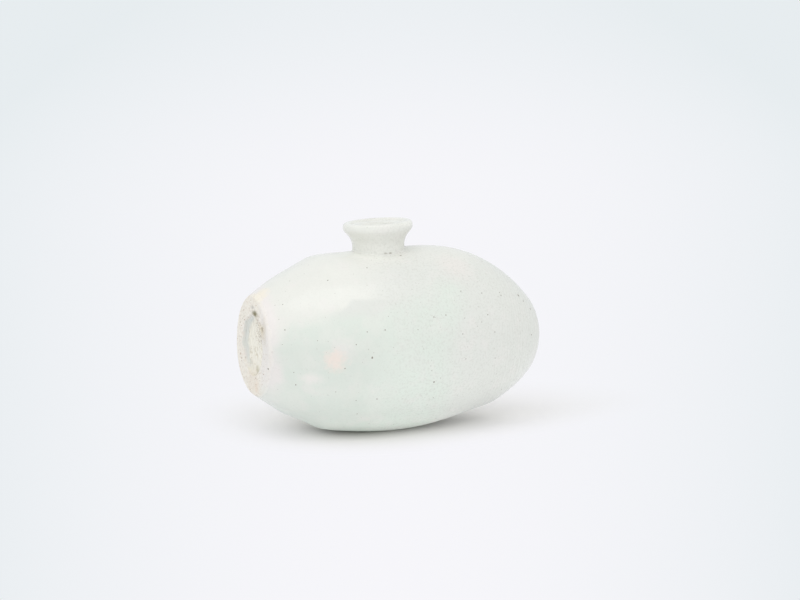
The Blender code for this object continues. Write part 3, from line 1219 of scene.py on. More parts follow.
@dataclass(frozen=True)
class SpeckFinish:
    """Iron that bled into the glaze: dark brown in the middle, fading to the glaze's colour at the rim."""

    core: Colour = (0.165, 0.138, 0.105)
    halo: Colour = (0.70, 0.685, 0.62)
    roughness: float = 0.34

    def material(self) -> bpy.types.Material:
        """Makes the material, whose fade reads the specks' own attribute.

        Returns:
            The material.
        """
        bench = NodeBench("iron_speck")
        share = bench.add("ShaderNodeAttribute", attribute_name="core").outputs["Fac"]
        uneven = bench.maths("MULTIPLY_ADD", bench.noise(1800.0, 2.0), 0.7, -0.35)
        fade = bench.step(bench.maths("ADD", share, uneven), 0.05, 0.75)
        bench.dress(bench.mix(fade, self.halo, self.core), self.roughness)
        return bench.material


@dataclass(frozen=True)
class SandFinish:
    """Kiln sand: quartz grains from pale grey to rust."""

    pale: Colour = (0.74, 0.71, 0.64)
    rust: Colour = (0.36, 0.24, 0.14)
    roughness: float = 0.7

    def material(self) -> bpy.types.Material:
        """Makes the material: a colour to each grain from coarse noise, and a broken surface.

        Returns:
            The material.
        """
        bench = NodeBench("kiln_sand")
        tone = bench.step(bench.noise(700.0, 1.0), 0.42, 0.70)
        bench.dress(bench.mix(tone, self.pale, self.rust), self.roughness)
        bench.bump(bench.noise(5000.0, 2.0), 0.4, 0.0001)
        return bench.material


# The bottle's members


def settle(piece: bpy.types.Object, material: bpy.types.Material, slot: Slot, *nodes: str) -> None:
    """Dresses a piece, makes it ride on the bottle, and hides the CAD nodes that it stands for, if any.

    Args:
        piece: The finished piece.
        material: Its finish.
        slot: The record's slot of that finish; not used.
        nodes: CAD nodes that the piece replaces, if any.
    """
    piece.data.materials.append(material)
    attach(piece, BODY)
    if nodes:
        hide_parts(*nodes)
    LOG.info("%s: %d faces", piece.name, len(piece.data.polygons))


@dataclass
class NeckShape:
    """The neck's sizes, with heights above the crown of the wall under it."""

    jar: JarShape
    from_foot: float = 0.0976
    height: float = 0.0209
    stem_radius: float = 0.0190
    stem_straight: float = 0.0025
    lean: float = math.radians(3.4)
    throat_radius: float = 0.0120
    throat_below_rim: float = 0.0055
    lip_radius: float = 0.0255
    lip_below_rim: float = 0.0036
    lip_carry: float = 0.0044
    flare_carry: float = 0.0097
    rim_land: float = 0.0063
    rim_edge_drop: float = 0.0014
    mouth_carry: float = 0.0012
    crest_carry: float = 0.0010
    rim_shoulder: float = 0.0006
    lip_rise: float = 0.0018
    sink: float = 0.0004

    @property
    def x(self) -> float:
        """Where the neck's axis stands along the bottle."""
        return self.jar.foot_x + self.from_foot

    def laid(self, radius: Array, height: Array, turn: Array, follow: bool = False) -> Array:
        """A profile point carried round the neck.

        In plan the point turns about the axis. Its height grows from the saddle of the wall at the root to a
        level plane at the rim, along half a cosine, and the neck's lean grows evenly from root to rim.

        Args:
            radius: Distance from the neck's axis.
            height: Height above the crown.
            turn: Angle round the axis.
            follow: Whether the point keeps its height above the wall all the way, as the coil does.

        Returns:
            Points, in the shape of the parameters with three numbers each.
        """
        rise = np.clip(height / self.height, 0.0, 1.0)
        across = radius * np.cos(turn)
        deep = radius * np.sin(turn)
        level = float(self.jar.crown(np.array(self.x), np.array(0.0)))
        saddle = self.jar.crown(self.x + across, deep) - level
        fade = 1.0 if follow else (1.0 + np.cos(math.pi * rise)) / 2.0
        z = level + height + self.lean * rise * across + saddle * fade
        x = self.x + across - self.lean * rise * height / 2.0
        return np.stack(np.broadcast_arrays(x, deep, z), -1)


@dataclass(frozen=True)
class RootCracks:
    """Short dark cracks in the glaze where the coil meets the wall.

    Each has an angle round the neck in degrees, a radius and a stretch. Their stains need no pixel.
    """

    neck: NeckShape
    colour: Colour = (0.240, 0.205, 0.145)
    beyond_stem: float = 0.0006
    height: float = 0.0020
    strength: float = 0.90
    cracks: tuple[tuple[float, float, float], ...] = ((-96.0, 0.0009, 2.4), (-85.5, 0.0009, 2.4))

    def placed(self) -> list[PlacedStain]:
        """Makes a stain of each crack, stretched along the wall.

        Returns:
            The stains with their places.
        """
        made = []
        for degrees, size, stretch in self.cracks:
            turn = np.array(math.radians(degrees))
            reach = np.array(self.neck.stem_radius + self.beyond_stem)
            centre = self.neck.laid(reach, np.array(self.height), turn, follow=True)
            stain = Stain((0.0, 0.0), size, self.colour, self.strength, (stretch, 1.0, 0.9))
            made.append(PlacedStain(stain, tuple(centre.tolist())))
        return made


@dataclass
class BarrelWall:
    """The thrown wall between the base slab and the dome, pierced under the neck."""

    jar: JarShape
    neck: NeckShape
    finish: bpy.types.Material
    rows: int = 200
    columns: int = 360

    def build(self) -> None:
        """Builds both skins of the wall on one grid, leaves out the hole's cells and joins the cut edges.

        The points round the hole are drawn in plan onto the throat's circle.
        """
        jar = self.jar
        ends = jar.arc_at(np.array((jar.base_thickness, jar.length - jar.dome_seam_from_tip)))
        arc = np.linspace(*ends, self.rows)[:, None]
        angle = turns(self.columns)[None, :]
        outer = jar.surface(arc, angle).reshape(-1, 3)
        inner = jar.surface(arc, angle, jar.wall).reshape(-1, 3)
        quads = grid_quads(self.rows, self.columns)
        middle = np.array((self.neck.x, 0.0))
        reach = np.linalg.norm(outer[:, :2] - middle, axis=1)
        in_hole = (reach < self.neck.throat_radius) & (outer[:, 2] > jar.axis_height)
        quads = quads[~in_hole[quads].any(axis=1)]
        rim = np.unique(rim_edges([quads]))
        rim = rim[(reach[rim] < 2.0 * self.neck.throat_radius) & (outer[rim, 2] > jar.axis_height)]
        for skin in (outer, inner):
            offset = skin[rim, :2] - middle
            length = np.linalg.norm(offset, axis=1)[:, None]
            skin[rim, :2] = middle + offset * self.neck.throat_radius / length
        normals = jar.normals(arc, angle).reshape(-1, 3)
        hollow = jar.normals(arc, angle, jar.wall).reshape(-1, 3)
        piece = walled(outer, inner, normals, hollow, [quads]).object("glazed_barrel_wall")
        settle(piece, self.finish, Slot.WHITE_GLAZE, "barrel_wall")


@dataclass
class ClosingDome:
    """The domed end, from its smoothed-over seam to the tip."""

    jar: JarShape
    finish: bpy.types.Material
    rows: int = 110
    columns: int = 360

    def build(self) -> None:
        """Builds both skins as grids that end in a pole, and joins them at the seam."""
        jar = self.jar
        start = float(jar.arc_at(np.array(jar.length - jar.dome_seam_from_tip)))
        arc = np.linspace(start, jar.arc[-1], self.rows + 1)
        rows = arc[:-1, None]
        angle = turns(self.columns)[None, :]
        pole = np.array([0.0])
        skins, normals = [], []
        for depth, facing in ((0.0, 1.0), (jar.wall, -1.0)):
            tip = jar.surface(arc[-1:], pole, depth)
            skins.append(np.concatenate((jar.surface(rows, angle, depth).reshape(-1, 3), tip)))
            shading = jar.normals(rows, angle, depth).reshape(-1, 3)
            normals.append(np.concatenate((shading, [(facing, 0.0, 0.0)])))
        last_ring = (self.rows - 1) * self.columns
        fan = pole_fan(last_ring, self.columns, self.rows * self.columns, at_end=True)
        faces = [grid_quads(self.rows, self.columns), fan]
        piece = walled(skins[0], skins[1], normals[0], normals[1], faces).object("glazed_closing_dome")
        settle(piece, self.finish, Slot.WHITE_GLAZE, "closing_dome")


@dataclass
class FootBase:
    """The base slab: the lower end of the flank, the worn land, and the recess trimmed into it."""

    jar: JarShape
    finish: bpy.types.Material
    recess_radius: float = 0.0218
    recess_depth: float = 0.0033
    recess_fillet: float = 0.0022
    recess_edge: float = 0.0006
    recess_lead: float = 0.0004
    land_stop: float = 0.0008
    land_softness: float = 0.002
    floor_start: float = 0.004
    recess_middle: float = 0.001
    lump: float = 0.00012
    columns: int = 300

    def lumps(self, y: Array, z: Array) -> Array:
        """Unevenness of the sandy face: six waves of unlike length and direction, added up.

        Args:
            y: Place across the bottle.
            z: Height above the floor.

        Returns:
            The offset along the bottle.
        """
        total = 0.0
        for index in range(6):
            heading = 1.1 + 2.4 * index
            wave = (420.0 + 230.0 * index) * (y * math.cos(heading) + z * math.sin(heading))
            total = total + np.sin(wave + 1.7 * index) / (1.0 + 0.4 * index)
        return self.lump * total

    def turned(self, along: Array, radius: Array, angle: Array, roughened: Array) -> Array:
        """Points turned about the jar's axis, with the face's lumps where it is rough.

        Args:
            along: Distance from the foot's face.
            radius: Distance from the axis.
            angle: Angle round the axis.
            roughened: Share of the lumps.

        Returns:
            Points, in the shape of the parameters with three numbers each.
        """
        y = -radius * np.sin(angle)
        z = self.jar.axis_height - radius * np.cos(angle)
        x = self.jar.foot_x + along + roughened * self.lumps(y, z)
        return np.stack(np.broadcast_arrays(x, y, z), -1)

    def build(self) -> None:
        """Builds the slab as one grid, from the inner floor's middle over the edge to the recess's middle."""
        jar = self.jar
        angle = turns(self.columns)[None, :]
        seam = float(jar.arc_at(np.array(jar.base_thickness)))
        rim = jar.surface(np.array([[seam]]), np.array([[math.pi / 2.0]]), jar.wall)[0, 0]
        inner = np.array((rim[0] - jar.foot_x, -rim[1]))
        floor = np.array((jar.base_thickness, inner[1] * 0.7))
        bend = bezier((jar.base_thickness, self.floor_start), floor, (floor[0], inner[1] * 0.95), inner, 30)
        flank = np.linspace(seam, 0.0, 60)[:, None]
        edge = float(jar.radius[0])
        face = np.linspace(edge, self.recess_radius + self.land_stop, 34)[1:]
        wall = bezier(
            (0.0, self.recess_radius + self.recess_edge),
            (0.0, self.recess_radius - self.recess_lead),
            (self.recess_depth, self.recess_radius),
            (self.recess_depth, self.recess_radius - self.recess_fillet),
            24,
        )
        bottom = np.linspace(wall[-1, 1], self.recess_middle, 30)[1:]
        roughened = ease(face, edge, edge - self.land_softness)[:, None]
        chains = (
            self.turned(bend[:, :1], bend[:, 1:], angle, 0.0),
            jar.surface(flank, angle),
            self.turned(0.0, face[:, None], angle, roughened),
            self.turned(wall[:, :1], wall[:, 1:], angle, 1.0),
            self.turned(self.recess_depth, bottom[:, None], angle, 1.0),
        )
        grid = np.concatenate(chains)
        normals = -grid_normals(grid, wrap_rows=False)
        flank_rows = slice(len(bend), len(bend) + len(flank))
        normals[flank_rows] = jar.normals(flank, angle)
        rows = len(grid)
        ends = np.concatenate(
            (
                self.turned(np.array([jar.base_thickness]), np.array([0.0]), np.array([0.0]), 0.0),
                self.turned(np.array([self.recess_depth]), np.array([0.0]), np.array([0.0]), 1.0),
            )
        )
        first, last = rows * self.columns, rows * self.columns + 1
        faces = [
            grid_quads(rows, self.columns)[:, ::-1],
            pole_fan(0, self.columns, first, at_end=False)[:, ::-1],
            pole_fan((rows - 1) * self.columns, self.columns, last, at_end=True)[:, ::-1],
        ]
        points = np.concatenate((grid.reshape(-1, 3), ends))
        shading = np.concatenate((normals.reshape(-1, 3), [(1.0, 0.0, 0.0), (-1.0, 0.0, 0.0)]))
        piece = Solid(points, faces, shading).object("bare_foot_base")
        settle(piece, self.finish, Slot.BARE_CLAY, "foot_base")


@dataclass
class Neck:
    """The neck: a bore that opens as a funnel, a rounded rim, a flared lip and a narrow stem."""

    shape: NeckShape
    finish: bpy.types.Material
    columns: int = 260

    def profile(self) -> Array:
        """Radius and height along the neck's section, from the foot of the bore over the rim to the root.

        Returns:
            The closed section's points, one to a row.
        """
        shape = self.shape
        top = shape.height
        throat = (shape.throat_radius, top - shape.throat_below_rim)
        mouth = (shape.lip_radius - shape.rim_land, top - shape.rim_edge_drop)
        crest = (shape.lip_radius - shape.rim_land / 2.0, top)
        lip = (shape.lip_radius, top - shape.lip_below_rim)
        stem = (shape.stem_radius, shape.stem_straight)
        root = -shape.sink
        bore = np.linspace((shape.throat_radius, root), throat, 16)[:-1]
        funnel = bezier(throat, (throat[0], mouth[1]), mouth, mouth, 22)[:-1]
        inner_handles = ((mouth[0] + shape.mouth_carry, top), (crest[0] - shape.crest_carry, top))
        outer_handles = ((lip[0] - shape.rim_shoulder, top), (lip[0], lip[1] + shape.lip_rise))
        flare_handles = ((lip[0], lip[1] - shape.lip_carry), (stem[0], stem[1] + shape.flare_carry))
        inner_rim = bezier(mouth, *inner_handles, crest, 14)[:-1]
        outer_rim = bezier(crest, *outer_handles, lip, 16)[:-1]
        flare = bezier(lip, *flare_handles, stem, 34)[:-1]
        foot = np.linspace(stem, (shape.stem_radius, root), 8)
        under = np.linspace((shape.stem_radius, root), (shape.throat_radius, root), 6)[1:-1]
        return np.concatenate((bore, funnel, inner_rim, outer_rim, flare, foot, under))

    def build(self) -> None:
        """Carries the section round the neck, with a slow wobble of its radius as the hands left it."""
        turn = turns(self.columns)[None, :]
        profile = self.profile()
        height = profile[:, 1:]
        rise = np.clip(height / self.shape.height, 0.0, 1.0)
        wobble = 0.16 * np.sin(2 * turn + 0.8) + 0.09 * np.sin(3 * turn + 2.0 + 2.0 * rise)
        rings = 0.045 * np.sin(2.0 * math.pi * height / 0.0047 + 0.5 * np.sin(turn))
        rings = rings + 0.018 * np.sin(2.0 * math.pi * height / 0.0017 + 0.7 * np.sin(turn + 0.4))
        radius = profile[:, :1] + MM * rise * (wobble + rings)
        piece = swept(self.shape.laid(radius, height, turn)).object("glazed_neck")
        settle(piece, self.finish, Slot.WHITE_GLAZE, "neck")


@dataclass
class LutingCoil:
    """The coil of clay smoothed into the corner between the neck's stem and the wall."""

    shape: NeckShape
    finish: bpy.types.Material
    width: float = 0.0026
    height: float = 0.0026
    skin: float = 0.00008
    columns: int = 260

    def build(self) -> None:
        """Carries a hollow fillet round the stem, which runs out in a thin edge on the stem and the wall."""
        shape = self.shape
        inner = shape.stem_radius - self.skin
        top = (shape.stem_radius + self.skin, self.height)
        toe = (shape.stem_radius + self.width, self.skin)
        hollow = (shape.stem_radius + self.skin, self.skin)
        fillet = bezier(top, hollow, hollow, toe, 22)
        root, half = -shape.sink, self.height * 0.5
        back = ((toe[0], root), (inner, root), (inner, half), (inner, self.height))
        profile = np.concatenate((fillet, back))
        turn = turns(self.columns)[None, :]
        swell = 1.0 + 0.18 * np.sin(2 * turn + 1.1) + 0.12 * np.sin(5 * turn)
        spread = np.maximum(profile[:, :1] - top[0], 0.0) * swell
        radius = np.minimum(profile[:, :1], top[0]) + spread
        piece = swept(shape.laid(radius, profile[:, 1:], turn, follow=True)).object("glazed_luting_coil")
        settle(piece, self.finish, Slot.WHITE_GLAZE, "neck_luting_coil")


# Specks and sand


@dataclass
class IronSpecks:
    """Iron spots in the glaze: those that stand out in the photograph, and a seeded scatter all round.

    A seen spot has its picture x and y and its radius. All radii of spots are in millimetres.
    """

    jar: JarShape
    camera: PhotoCamera
    finish: bpy.types.Material
    scattered: int = 330
    seed: int = 11
    columns: int = 10
    rings: int = 4
    smallest: float = 0.16
    size_range: float = 0.42
    front_turn: tuple[float, float] = (0.25, 2.75)
    front_scale: float = 0.80
    seen_scale: float = 1.05
    first_arc: float = 0.012
    proud: float = 0.00004
    sunk: float = 0.00016
    seen: tuple[tuple[float, float, float], ...] = (
        (372.0, 357.6, 1.00), (367.0, 267.6, 0.70), (328.0, 281.0, 0.65), (461.0, 291.0, 0.62),
        (482.0, 293.0, 0.58), (518.0, 295.5, 1.45), (501.0, 295.4, 0.75), (434.0, 317.0, 0.60),
        (446.0, 315.0, 0.60), (465.0, 318.0, 0.48), (488.0, 314.6, 0.66), (482.0, 322.0, 0.46),
        (385.0, 330.0, 0.60), (367.0, 332.0, 0.50), (285.0, 330.0, 0.62), (463.0, 334.0, 0.56),
        (495.0, 332.0, 0.60), (531.2, 334.8, 0.92), (356.0, 344.6, 0.55), (345.0, 368.0, 0.62),
        (296.0, 384.0, 0.66), (294.0, 372.0, 0.46), (434.0, 382.0, 0.84), (466.0, 359.0, 0.46),
        (495.0, 358.0, 0.52), (501.0, 389.0, 0.62), (511.0, 385.6, 0.70), (490.0, 399.0, 0.48),
        (377.0, 399.0, 0.62), (357.0, 413.6, 0.55), (336.0, 391.0, 0.46), (283.0, 305.0, 0.52),
        (268.0, 369.0, 0.80), (529.8, 309.0, 1.20), (482.0, 262.0, 0.60), (290.0, 282.0, 0.46),
        (356.0, 400.0, 0.46), (523.0, 301.2, 0.95), (499.5, 292.4, 0.55),
    )

    def spots(self) -> tuple[Array, Array, Array]:
        """Arc length, angle and radius of every spot.

        The scattered ones are drawn evenly over the jar's area. On the side of the photograph's view, where
        the seen ones stand, they are smaller.

        Returns:
            Three arrays of equal length.
        """
        seen = np.array(self.seen)
        arc, angle = self.jar.hit(self.camera.place(), self.camera.rays(seen[:, :2]))
        chance = np.random.default_rng(self.seed)
        area = np.cumsum(self.jar.radius * np.gradient(self.jar.arc))
        drawn = np.interp(chance.random(self.scattered) * area[-1], area, self.jar.arc)
        drawn = np.maximum(drawn, self.first_arc)
        turn = 2.0 * math.pi * chance.random(self.scattered)
        size = self.smallest + self.size_range * chance.random(self.scattered) ** 3
        front = (turn > self.front_turn[0]) & (turn < self.front_turn[1])
        size = np.where(front, self.front_scale * size, size)
        return (
            np.concatenate((arc, drawn)),
            np.concatenate((angle, turn)),
            MM * np.concatenate((self.seen_scale * seen[:, 2], size)),
        )

    def build(self) -> None:
        """Builds each spot as a closed lens on its tangent plane, crowned in the middle, sunk at the rim."""
        arc, angle, radius = self.spots()
        middle = self.jar.surface(arc, angle)[:, None, None, :]
        up = self.jar.normals(arc, angle)[:, None, None, :]
        side = unit(np.cross(up, (0.0, 0.0, 1.0)) + 1e-9)
        other = np.cross(up, side)
        share = np.linspace(0.0, 1.0, self.rings + 1)[1:][None, :, None, None]
        turn = turns(self.columns)[None, None, :, None]
        lobes = 1.0 + 0.16 * np.sin(2 * turn + 40.0 * angle[:, None, None, None])
        lobes = lobes + 0.10 * np.sin(3 * turn + 90.0 * angle[:, None, None, None])
        reach = radius[:, None, None, None] * share * lobes
        lift = self.proud * (1.0 - share**2) - self.sunk * share**6 * 0.4
        rings = middle + reach * (np.cos(turn) * side + np.sin(turn) * other) + lift * up
        crown = middle + self.proud * up
        base = middle - self.sunk * up
        count, per_spot = len(radius), self.rings * self.columns + 2
        points = np.concatenate((rings.reshape(count, -1, 3), crown[:, 0], base[:, 0]), axis=1)
        quads = grid_quads(self.rings, self.columns)
        top = pole_fan(0, self.columns, per_spot - 2, at_end=False)
        bottom = pole_fan((self.rings - 1) * self.columns, self.columns, per_spot - 1, at_end=True)
        shift = (np.arange(count) * per_spot)[:, None, None]
        faces = [(part[None] + shift).reshape(-1, part.shape[1]) for part in (quads, top, bottom)]
        shading = np.broadcast_to(up[:, 0], points.shape).reshape(-1, 3)
        piece = Solid(points.reshape(-1, 3), faces, shading).object("iron_specks")
        fade = np.repeat(1.0 - share[0, :, 0, 0], self.columns)
        core = np.tile(np.concatenate((fade, (1.0, 0.0))), count)
        piece.data.attributes.new("core", "FLOAT", "POINT").data.foreach_set("value", core)
        settle(piece, self.finish, Slot.WHITE_GLAZE)


@dataclass
class KilnSand:
    """Grains of the sand on which the foot stood in the kiln, fused to its land or caught in its recess."""

    foot: FootBase
    finish: bpy.types.Material
    grains: int = 420
    seed: int = 5
    smallest: float = 0.00012
    largest: float = 0.00042
    land_share: float = 0.8
    land_inset: float = 0.001
    land_overhang: float = 0.0004
    recess_inset: float = 0.003

    def build(self) -> None:
        """Builds each grain as a stretched icosahedron, half sunk in the clay."""
        chance = np.random.default_rng(self.seed)
        jar = self.foot.jar
        corners, sets = icosahedron()
        on_land = chance.random(self.grains) < self.land_share
        inner = self.foot.recess_radius + self.land_inset
        outer = float(jar.radius[0]) + self.land_overhang
        radius = np.where(
            on_land,
            np.sqrt(inner**2 + (outer**2 - inner**2) * chance.random(self.grains)),
            (self.foot.recess_radius - self.recess_inset) * np.sqrt(chance.random(self.grains)),
        )
        angle = 2.0 * math.pi * chance.random(self.grains)
        along = np.where(on_land, 0.0, self.foot.recess_depth)
        centre = self.foot.turned(along, radius, angle, np.ones(self.grains))
        size = self.smallest + (self.largest - self.smallest) * chance.random(self.grains) ** 2.5
        stretch = 0.65 + 0.7 * chance.random((self.grains, 1, 3))
        points = centre[:, None, :] + size[:, None, None] * stretch * corners[None]
        shift = (np.arange(self.grains) * len(corners))[:, None, None]
        faces = (sets[None] + shift).reshape(-1, 3)
        shading = np.broadcast_to(corners[None], points.shape).reshape(-1, 3)
        piece = Solid(points.reshape(-1, 3), [faces], shading).object("kiln_sand_grains")
        settle(piece, self.finish, Slot.BARE_CLAY)


# Studio


@dataclass
class Studio:
    """A pale paper sweep in a white room whose walls are brighter than its ceiling, and one long softbox.

    The paper's seen and contact colours are painted shade, which the eye meets near the bottle over the real
    shadow: a darker copy of the paper and a painted contact shadow. Its lit and shaded colours are those that
    the eye meets farther away. A leak is a place on the floor with a factor by which the painted shadow is
    lighter there, as painted light.
    """

    paper: Colour = (0.955, 0.957, 0.975)
    # Painted shade for the eye: a darker copy of the paper near the bottle, and a painted contact shadow.
    painted_shade_paper: Colour = (0.790, 0.776, 0.736)
    painted_contact_shadow: Colour = (0.440, 0.430, 0.405)
    lit_paper: Colour = (0.925, 0.922, 0.955)
    shaded_paper: Colour = (0.800, 0.845, 0.868)
    # Painted light: places near the two ends of the bottle where the painted shadow is lighter.
    leaks: tuple[tuple[Place, float], ...] = (
        ((-0.066, 0.054, 0.0), 1.09),
        ((0.089, 0.010, 0.0), 1.10),
    )
    leak_reach: tuple[float, float] = (0.042, 0.008)
    shadow_offset: Place = (0.0254, -0.0054, 0.0)
    shadow_yaw: float = math.radians(-12.0)
    shadow_behind: Place = (0.37, 0.55, 1.0)
    shadow_in_front: Place = (-0.95, -1.05, 1.0)
    contact_reach: tuple[float, float] = (0.006, 0.052)
    shadow_reach: tuple[float, float] = (0.010, 0.105)
    to_right: Place = (0.922, -0.388, 0.0)
    to_back: Place = (0.388, 0.922, 0.0)
    lit_width: float = 0.294
    lit_widening: float = 0.196
    lit_least: float = 0.20
    front_widening: float = 3.0
    edge_shade: float = 0.75
    half_width: float = 5.0
    front: float = -3.5
    back: float = 2.2
    cove: float = 1.2
    top: float = 3.6
    horizon: Colour = (1.12, 1.13, 1.13)
    zenith: Colour = (0.74, 0.75, 0.76)
    box_centre: Place = (-0.27, -0.513, 1.30)
    box_yaw: float = math.radians(-10.0)
    box_width: float = 1.30
    box_depth: float = 0.80
    box_radiance: float = 1.45

    def shadow_distance(self, bench: NodeBench) -> bpy.types.NodeSocket:
        """Distance from the shadow's middle, on an oval that reaches farther to the back and past the dome.

        Args:
            bench: The paper's nodes.

        Returns:
            The distance.
        """
        around = bench.turned(self.shadow_offset, self.shadow_yaw)
        behind = bench.vector("MULTIPLY", around, self.shadow_behind).outputs["Vector"]
        in_front = bench.vector("MULTIPLY", around, self.shadow_in_front).outputs["Vector"]
        oval = bench.vector("MAXIMUM", behind, in_front).outputs["Vector"]
        return bench.vector("LENGTH", oval).outputs["Value"]

    def painted_shadow_colour(self, bench: NodeBench, reach: bpy.types.NodeSocket) -> bpy.types.NodeSocket:
        """The paper's painted shadow near the bottle: a painted contact shadow, darkest at the contact, and
        painted light where light leaks under.

        Args:
            bench: The paper's nodes.
            reach: Distance from the middle of the shadow.

        Returns:
            The colour.
        """
        # Painted contact shadow, fading into the darker painted copy of the paper.
        colour = bench.mix(bench.step(reach, *self.contact_reach), self.painted_contact_shadow, self.painted_shade_paper)
        # Painted light at each leak.
        for centre, leak in self.leaks:
            close = bench.step(bench.distance(centre), *self.leak_reach)
            colour = bench.scaled(colour, bench.between(close, 1.0, leak))
        return colour

    def far_colour(self, bench: NodeBench) -> bpy.types.NodeSocket:
        """The colour of the paper far from the bottle, shaded towards both sides and up the backdrop.

        Args:
            bench: The paper's nodes.

        Returns:
            The colour.
        """
        across = bench.vector("DOT_PRODUCT", bench.place, self.to_right).outputs["Value"]
        behind = bench.vector("DOT_PRODUCT", bench.place, self.to_back).outputs["Value"]
        width = bench.maths("MULTIPLY_ADD", behind, self.lit_widening, self.lit_width)
        width = bench.maths("MAXIMUM", width, self.lit_least)
        width = bench.maths("MULTIPLY_ADD", bench.step(behind, -0.5, -2.5), self.front_widening, width)
        spread = bench.maths("DIVIDE", across, width)
        sides = bench.times(bench.times(spread, spread), self.edge_shade, clamp=True)
        height = bench.times(bench.step(bench.axis("Z"), 0.02, 0.40), self.edge_shade)
        shade = bench.maths("ADD", sides, height, clamp=True)
        return bench.mix(shade, self.lit_paper, self.shaded_paper)

    def paper_material(self) -> bpy.types.Material:
        """Makes the paper, which keeps the bottle's shadow round it and shows evenly lit farther away.

        To the eye and in reflections, paper farther from the bottle gives off its far colour. Near the bottle
        the eye meets the painted shadow, darker paper over the real shadow, and everything else meets plain
        matt paper.

        Returns:
            The material.
        """
        bench = NodeBench("studio_paper")
        reach = self.shadow_distance(bench)
        path = bench.add("ShaderNodeLightPath").outputs
        # Painted shadow colour, which only the eye meets.
        seen = self.painted_shadow_colour(bench, reach)
        bench.dress(bench.mix(path["Is Camera Ray"], self.paper, seen), 1.0, 0.0)
        glow = bench.add("ShaderNodeEmission")
        bench.feed(glow.inputs["Color"], self.far_colour(bench))
        direct = bench.maths("MAXIMUM", path["Is Camera Ray"], path["Is Glossy Ray"])
        blend = bench.add("ShaderNodeMixShader")
        bench.feed(blend.inputs[0], bench.times(direct, bench.step(reach, *self.shadow_reach)))
        bench.feed(blend.inputs[1], bench.shader.outputs[0])
        bench.feed(blend.inputs[2], glow.outputs[0])
        bench.feed(bench.tree.nodes["Material Output"].inputs["Surface"], blend.outputs[0])
        return bench.material

    def make_sweep(self) -> None:
        """Makes the floor that curves up into a backdrop: a straight run, a quarter circle and a wall."""
        turn = np.linspace(0.0, math.pi / 2.0, 33)
        run = np.array(((self.front, 0.0), (self.back - self.cove - 0.02, 0.0)))
        bend = np.stack(
            (self.back - self.cove + self.cove * np.sin(turn), self.cove * (1.0 - np.cos(turn))), -1
        )
        profile = np.concatenate((run, bend, [(self.back, self.top)]))
        sides = np.array((-self.half_width, self.half_width))
        grid = np.empty((len(profile), 2, 3))
        grid[:, :, 0] = sides
        grid[:, :, 1:] = profile[:, None, :]
        row = np.arange(len(profile) - 1)[:, None] * 2
        quads = row + np.array((0, 1, 3, 2))
        mesh = bpy.data.meshes.new("studio_sweep")
        mesh.from_pydata(grid.reshape(-1, 3).tolist(), [], quads.tolist())
        mesh.polygons.foreach_set("use_smooth", np.ones(len(quads), bool))
        sweep = bpy.data.objects.new("studio_sweep", mesh)
        bpy.context.scene.collection.objects.link(sweep)
        mesh.materials.append(self.paper_material())

    def make_lights(self) -> None:
        """Makes the softbox, which faces down, and the white room, whose light falls off with height.

        Where the eye looks past the paper, it meets the shaded paper's colour instead of the room.
        """
        lamp = bpy.data.lights.new("overhead_softbox", "AREA")
        lamp.shape = "RECTANGLE"
        lamp.size = self.box_width
        lamp.size_y = self.box_depth
        lamp.energy = self.box_radiance * math.pi * self.box_width * self.box_depth
        box = bpy.data.objects.new("overhead_softbox", lamp)
        box.location = self.box_centre
        box.rotation_euler = (0.0, 0.0, self.box_yaw)
        bpy.context.scene.collection.objects.link(box)
        world = bpy.data.worlds.new("white_room")
        world.use_nodes = True
        nodes, links = world.node_tree.nodes, world.node_tree.links
        direction = nodes.new("ShaderNodeSeparateXYZ")
        links.new(nodes.new("ShaderNodeTexCoord").outputs["Generated"], direction.inputs[0])
        room = nodes.new("ShaderNodeMix")
        room.data_type = "RGBA"
        room.inputs[6].default_value = (*self.horizon, 1.0)
        room.inputs[7].default_value = (*self.zenith, 1.0)
        links.new(direction.outputs["Z"], room.inputs[0])
        seen = nodes.new("ShaderNodeMix")
        seen.data_type = "RGBA"
        links.new(nodes.new("ShaderNodeLightPath").outputs["Is Camera Ray"], seen.inputs[0])
        links.new(room.outputs[2], seen.inputs[6])
        seen.inputs[7].default_value = (*self.shaded_paper, 1.0)
        links.new(seen.outputs[2], nodes["Background"].inputs["Color"])
        bpy.context.scene.world = world


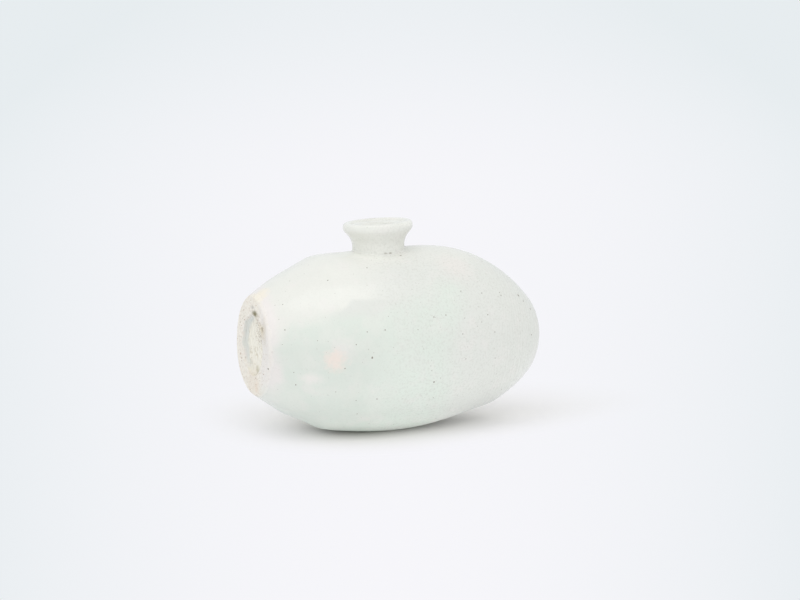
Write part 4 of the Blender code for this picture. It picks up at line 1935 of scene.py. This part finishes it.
STAINS = (
    Stain((342.0, 350.0), 0.0100, (0.845, 0.798, 0.775), 0.50),
    Stain((335.0, 360.0), 0.0095, (0.868, 0.768, 0.698), 0.88),
    Stain((455.0, 266.0), 0.0170, (0.800, 0.752, 0.718), 0.55),
    Stain((312.0, 378.0), 0.0070, (0.850, 0.815, 0.780), 0.60, stretch=(2.2, 1.0, 0.7)),
    Stain((259.5, 295.5), 0.0088, (0.880, 0.815, 0.690), 0.62),
    Stain((399.2, 252.7), 0.0010, (0.240, 0.205, 0.145), 0.85),
    Stain((400.7, 255.4), 0.0009, (0.240, 0.205, 0.145), 0.90),
)
GRIT_HEAP = Stain((256.5, 332.0), 0.0165, (0.330, 0.255, 0.175), 0.85, ground=Ground.FOOT)
FOOT_STAINS = (
    # Dark olive patches at the top and bottom ends of the recess.
    Stain((254.8, 314.0), 0.0026, (0.200, 0.185, 0.095), 0.95, (1.5, 2.8, 1.0), Ground.FOOT),
    Stain((253.6, 370.8), 0.0036, (0.380, 0.360, 0.210), 0.90, (1.8, 1.5, 1.2), Ground.FOOT),
    Stain((252.6, 307.0), 0.0020, (0.450, 0.440, 0.410), 0.60, (1.2, 1.8, 0.9), Ground.FOOT),
    Stain((240.6, 353.6), 0.0012, (0.500, 0.380, 0.280), 0.80, (1.2, 1.8, 1.0), Ground.FOOT),
    Stain((254.6, 321.0), 0.0024, (0.520, 0.440, 0.290), 0.75, (1.8, 1.4, 1.3), Ground.FOOT),
    Stain((260.5, 331.0), 0.0060, (0.760, 0.690, 0.540), 0.70, (1.2, 1.3, 1.1), Ground.FOOT),
    Stain((262.0, 329.0), 0.0016, (0.260, 0.215, 0.130), 0.85, (1.2, 1.3, 1.1), Ground.FOOT),
    Stain((256.5, 387.0), 0.0060, (0.800, 0.680, 0.560), 0.55, ground=Ground.FOOT),
    Stain((252.0, 381.0), 0.0140, (0.800, 0.720, 0.620), 0.50, ground=Ground.FOOT),
    # A brownish patch on the land at the recess's near edge.
    Stain((264.0, 332.0), 0.0050, (0.620, 0.550, 0.420), 0.35, (1.2, 1.0, 2.2), Ground.FOOT),
    Stain((256.0, 361.0), 0.0022, (0.550, 0.470, 0.340), 0.50, (1.5, 1.5, 1.5), Ground.FOOT),
)


def main() -> None:
    """Builds the bottle's members in order, then the studio."""
    logging.basicConfig(level=logging.INFO, format="%(name)s: %(message)s")
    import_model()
    bpy.context.scene.view_settings.view_transform = "Standard"
    camera = PhotoCamera()
    camera.make()
    jar = JarShape()
    neck = NeckShape(jar)
    placed = [stain.placed(jar, camera) for stain in STAINS]
    placed += RootCracks(neck).placed()
    foot_placed = [stain.placed(jar, camera) for stain in FOOT_STAINS]
    glaze = GlazeFinish("white_glaze", tuple(placed)).material()
    foot_glaze = GlazeFinish("foot_glaze", tuple(placed + foot_placed))
    heap = GRIT_HEAP.placed(jar, camera)
    foot_finish = FootFinish(foot_glaze, heap, jar.axis_height, FootBase.recess_radius).material()
    BarrelWall(jar, neck, glaze).build()
    ClosingDome(jar, glaze).build()
    foot = FootBase(jar, foot_finish)
    foot.build()
    Neck(neck, glaze).build()
    LutingCoil(neck, glaze).build()
    IronSpecks(jar, camera, SpeckFinish().material()).build()
    KilnSand(foot, SandFinish().material()).build()
    studio = Studio()
    studio.make_sweep()
    studio.make_lights()


if __name__ == "__main__":
    main()
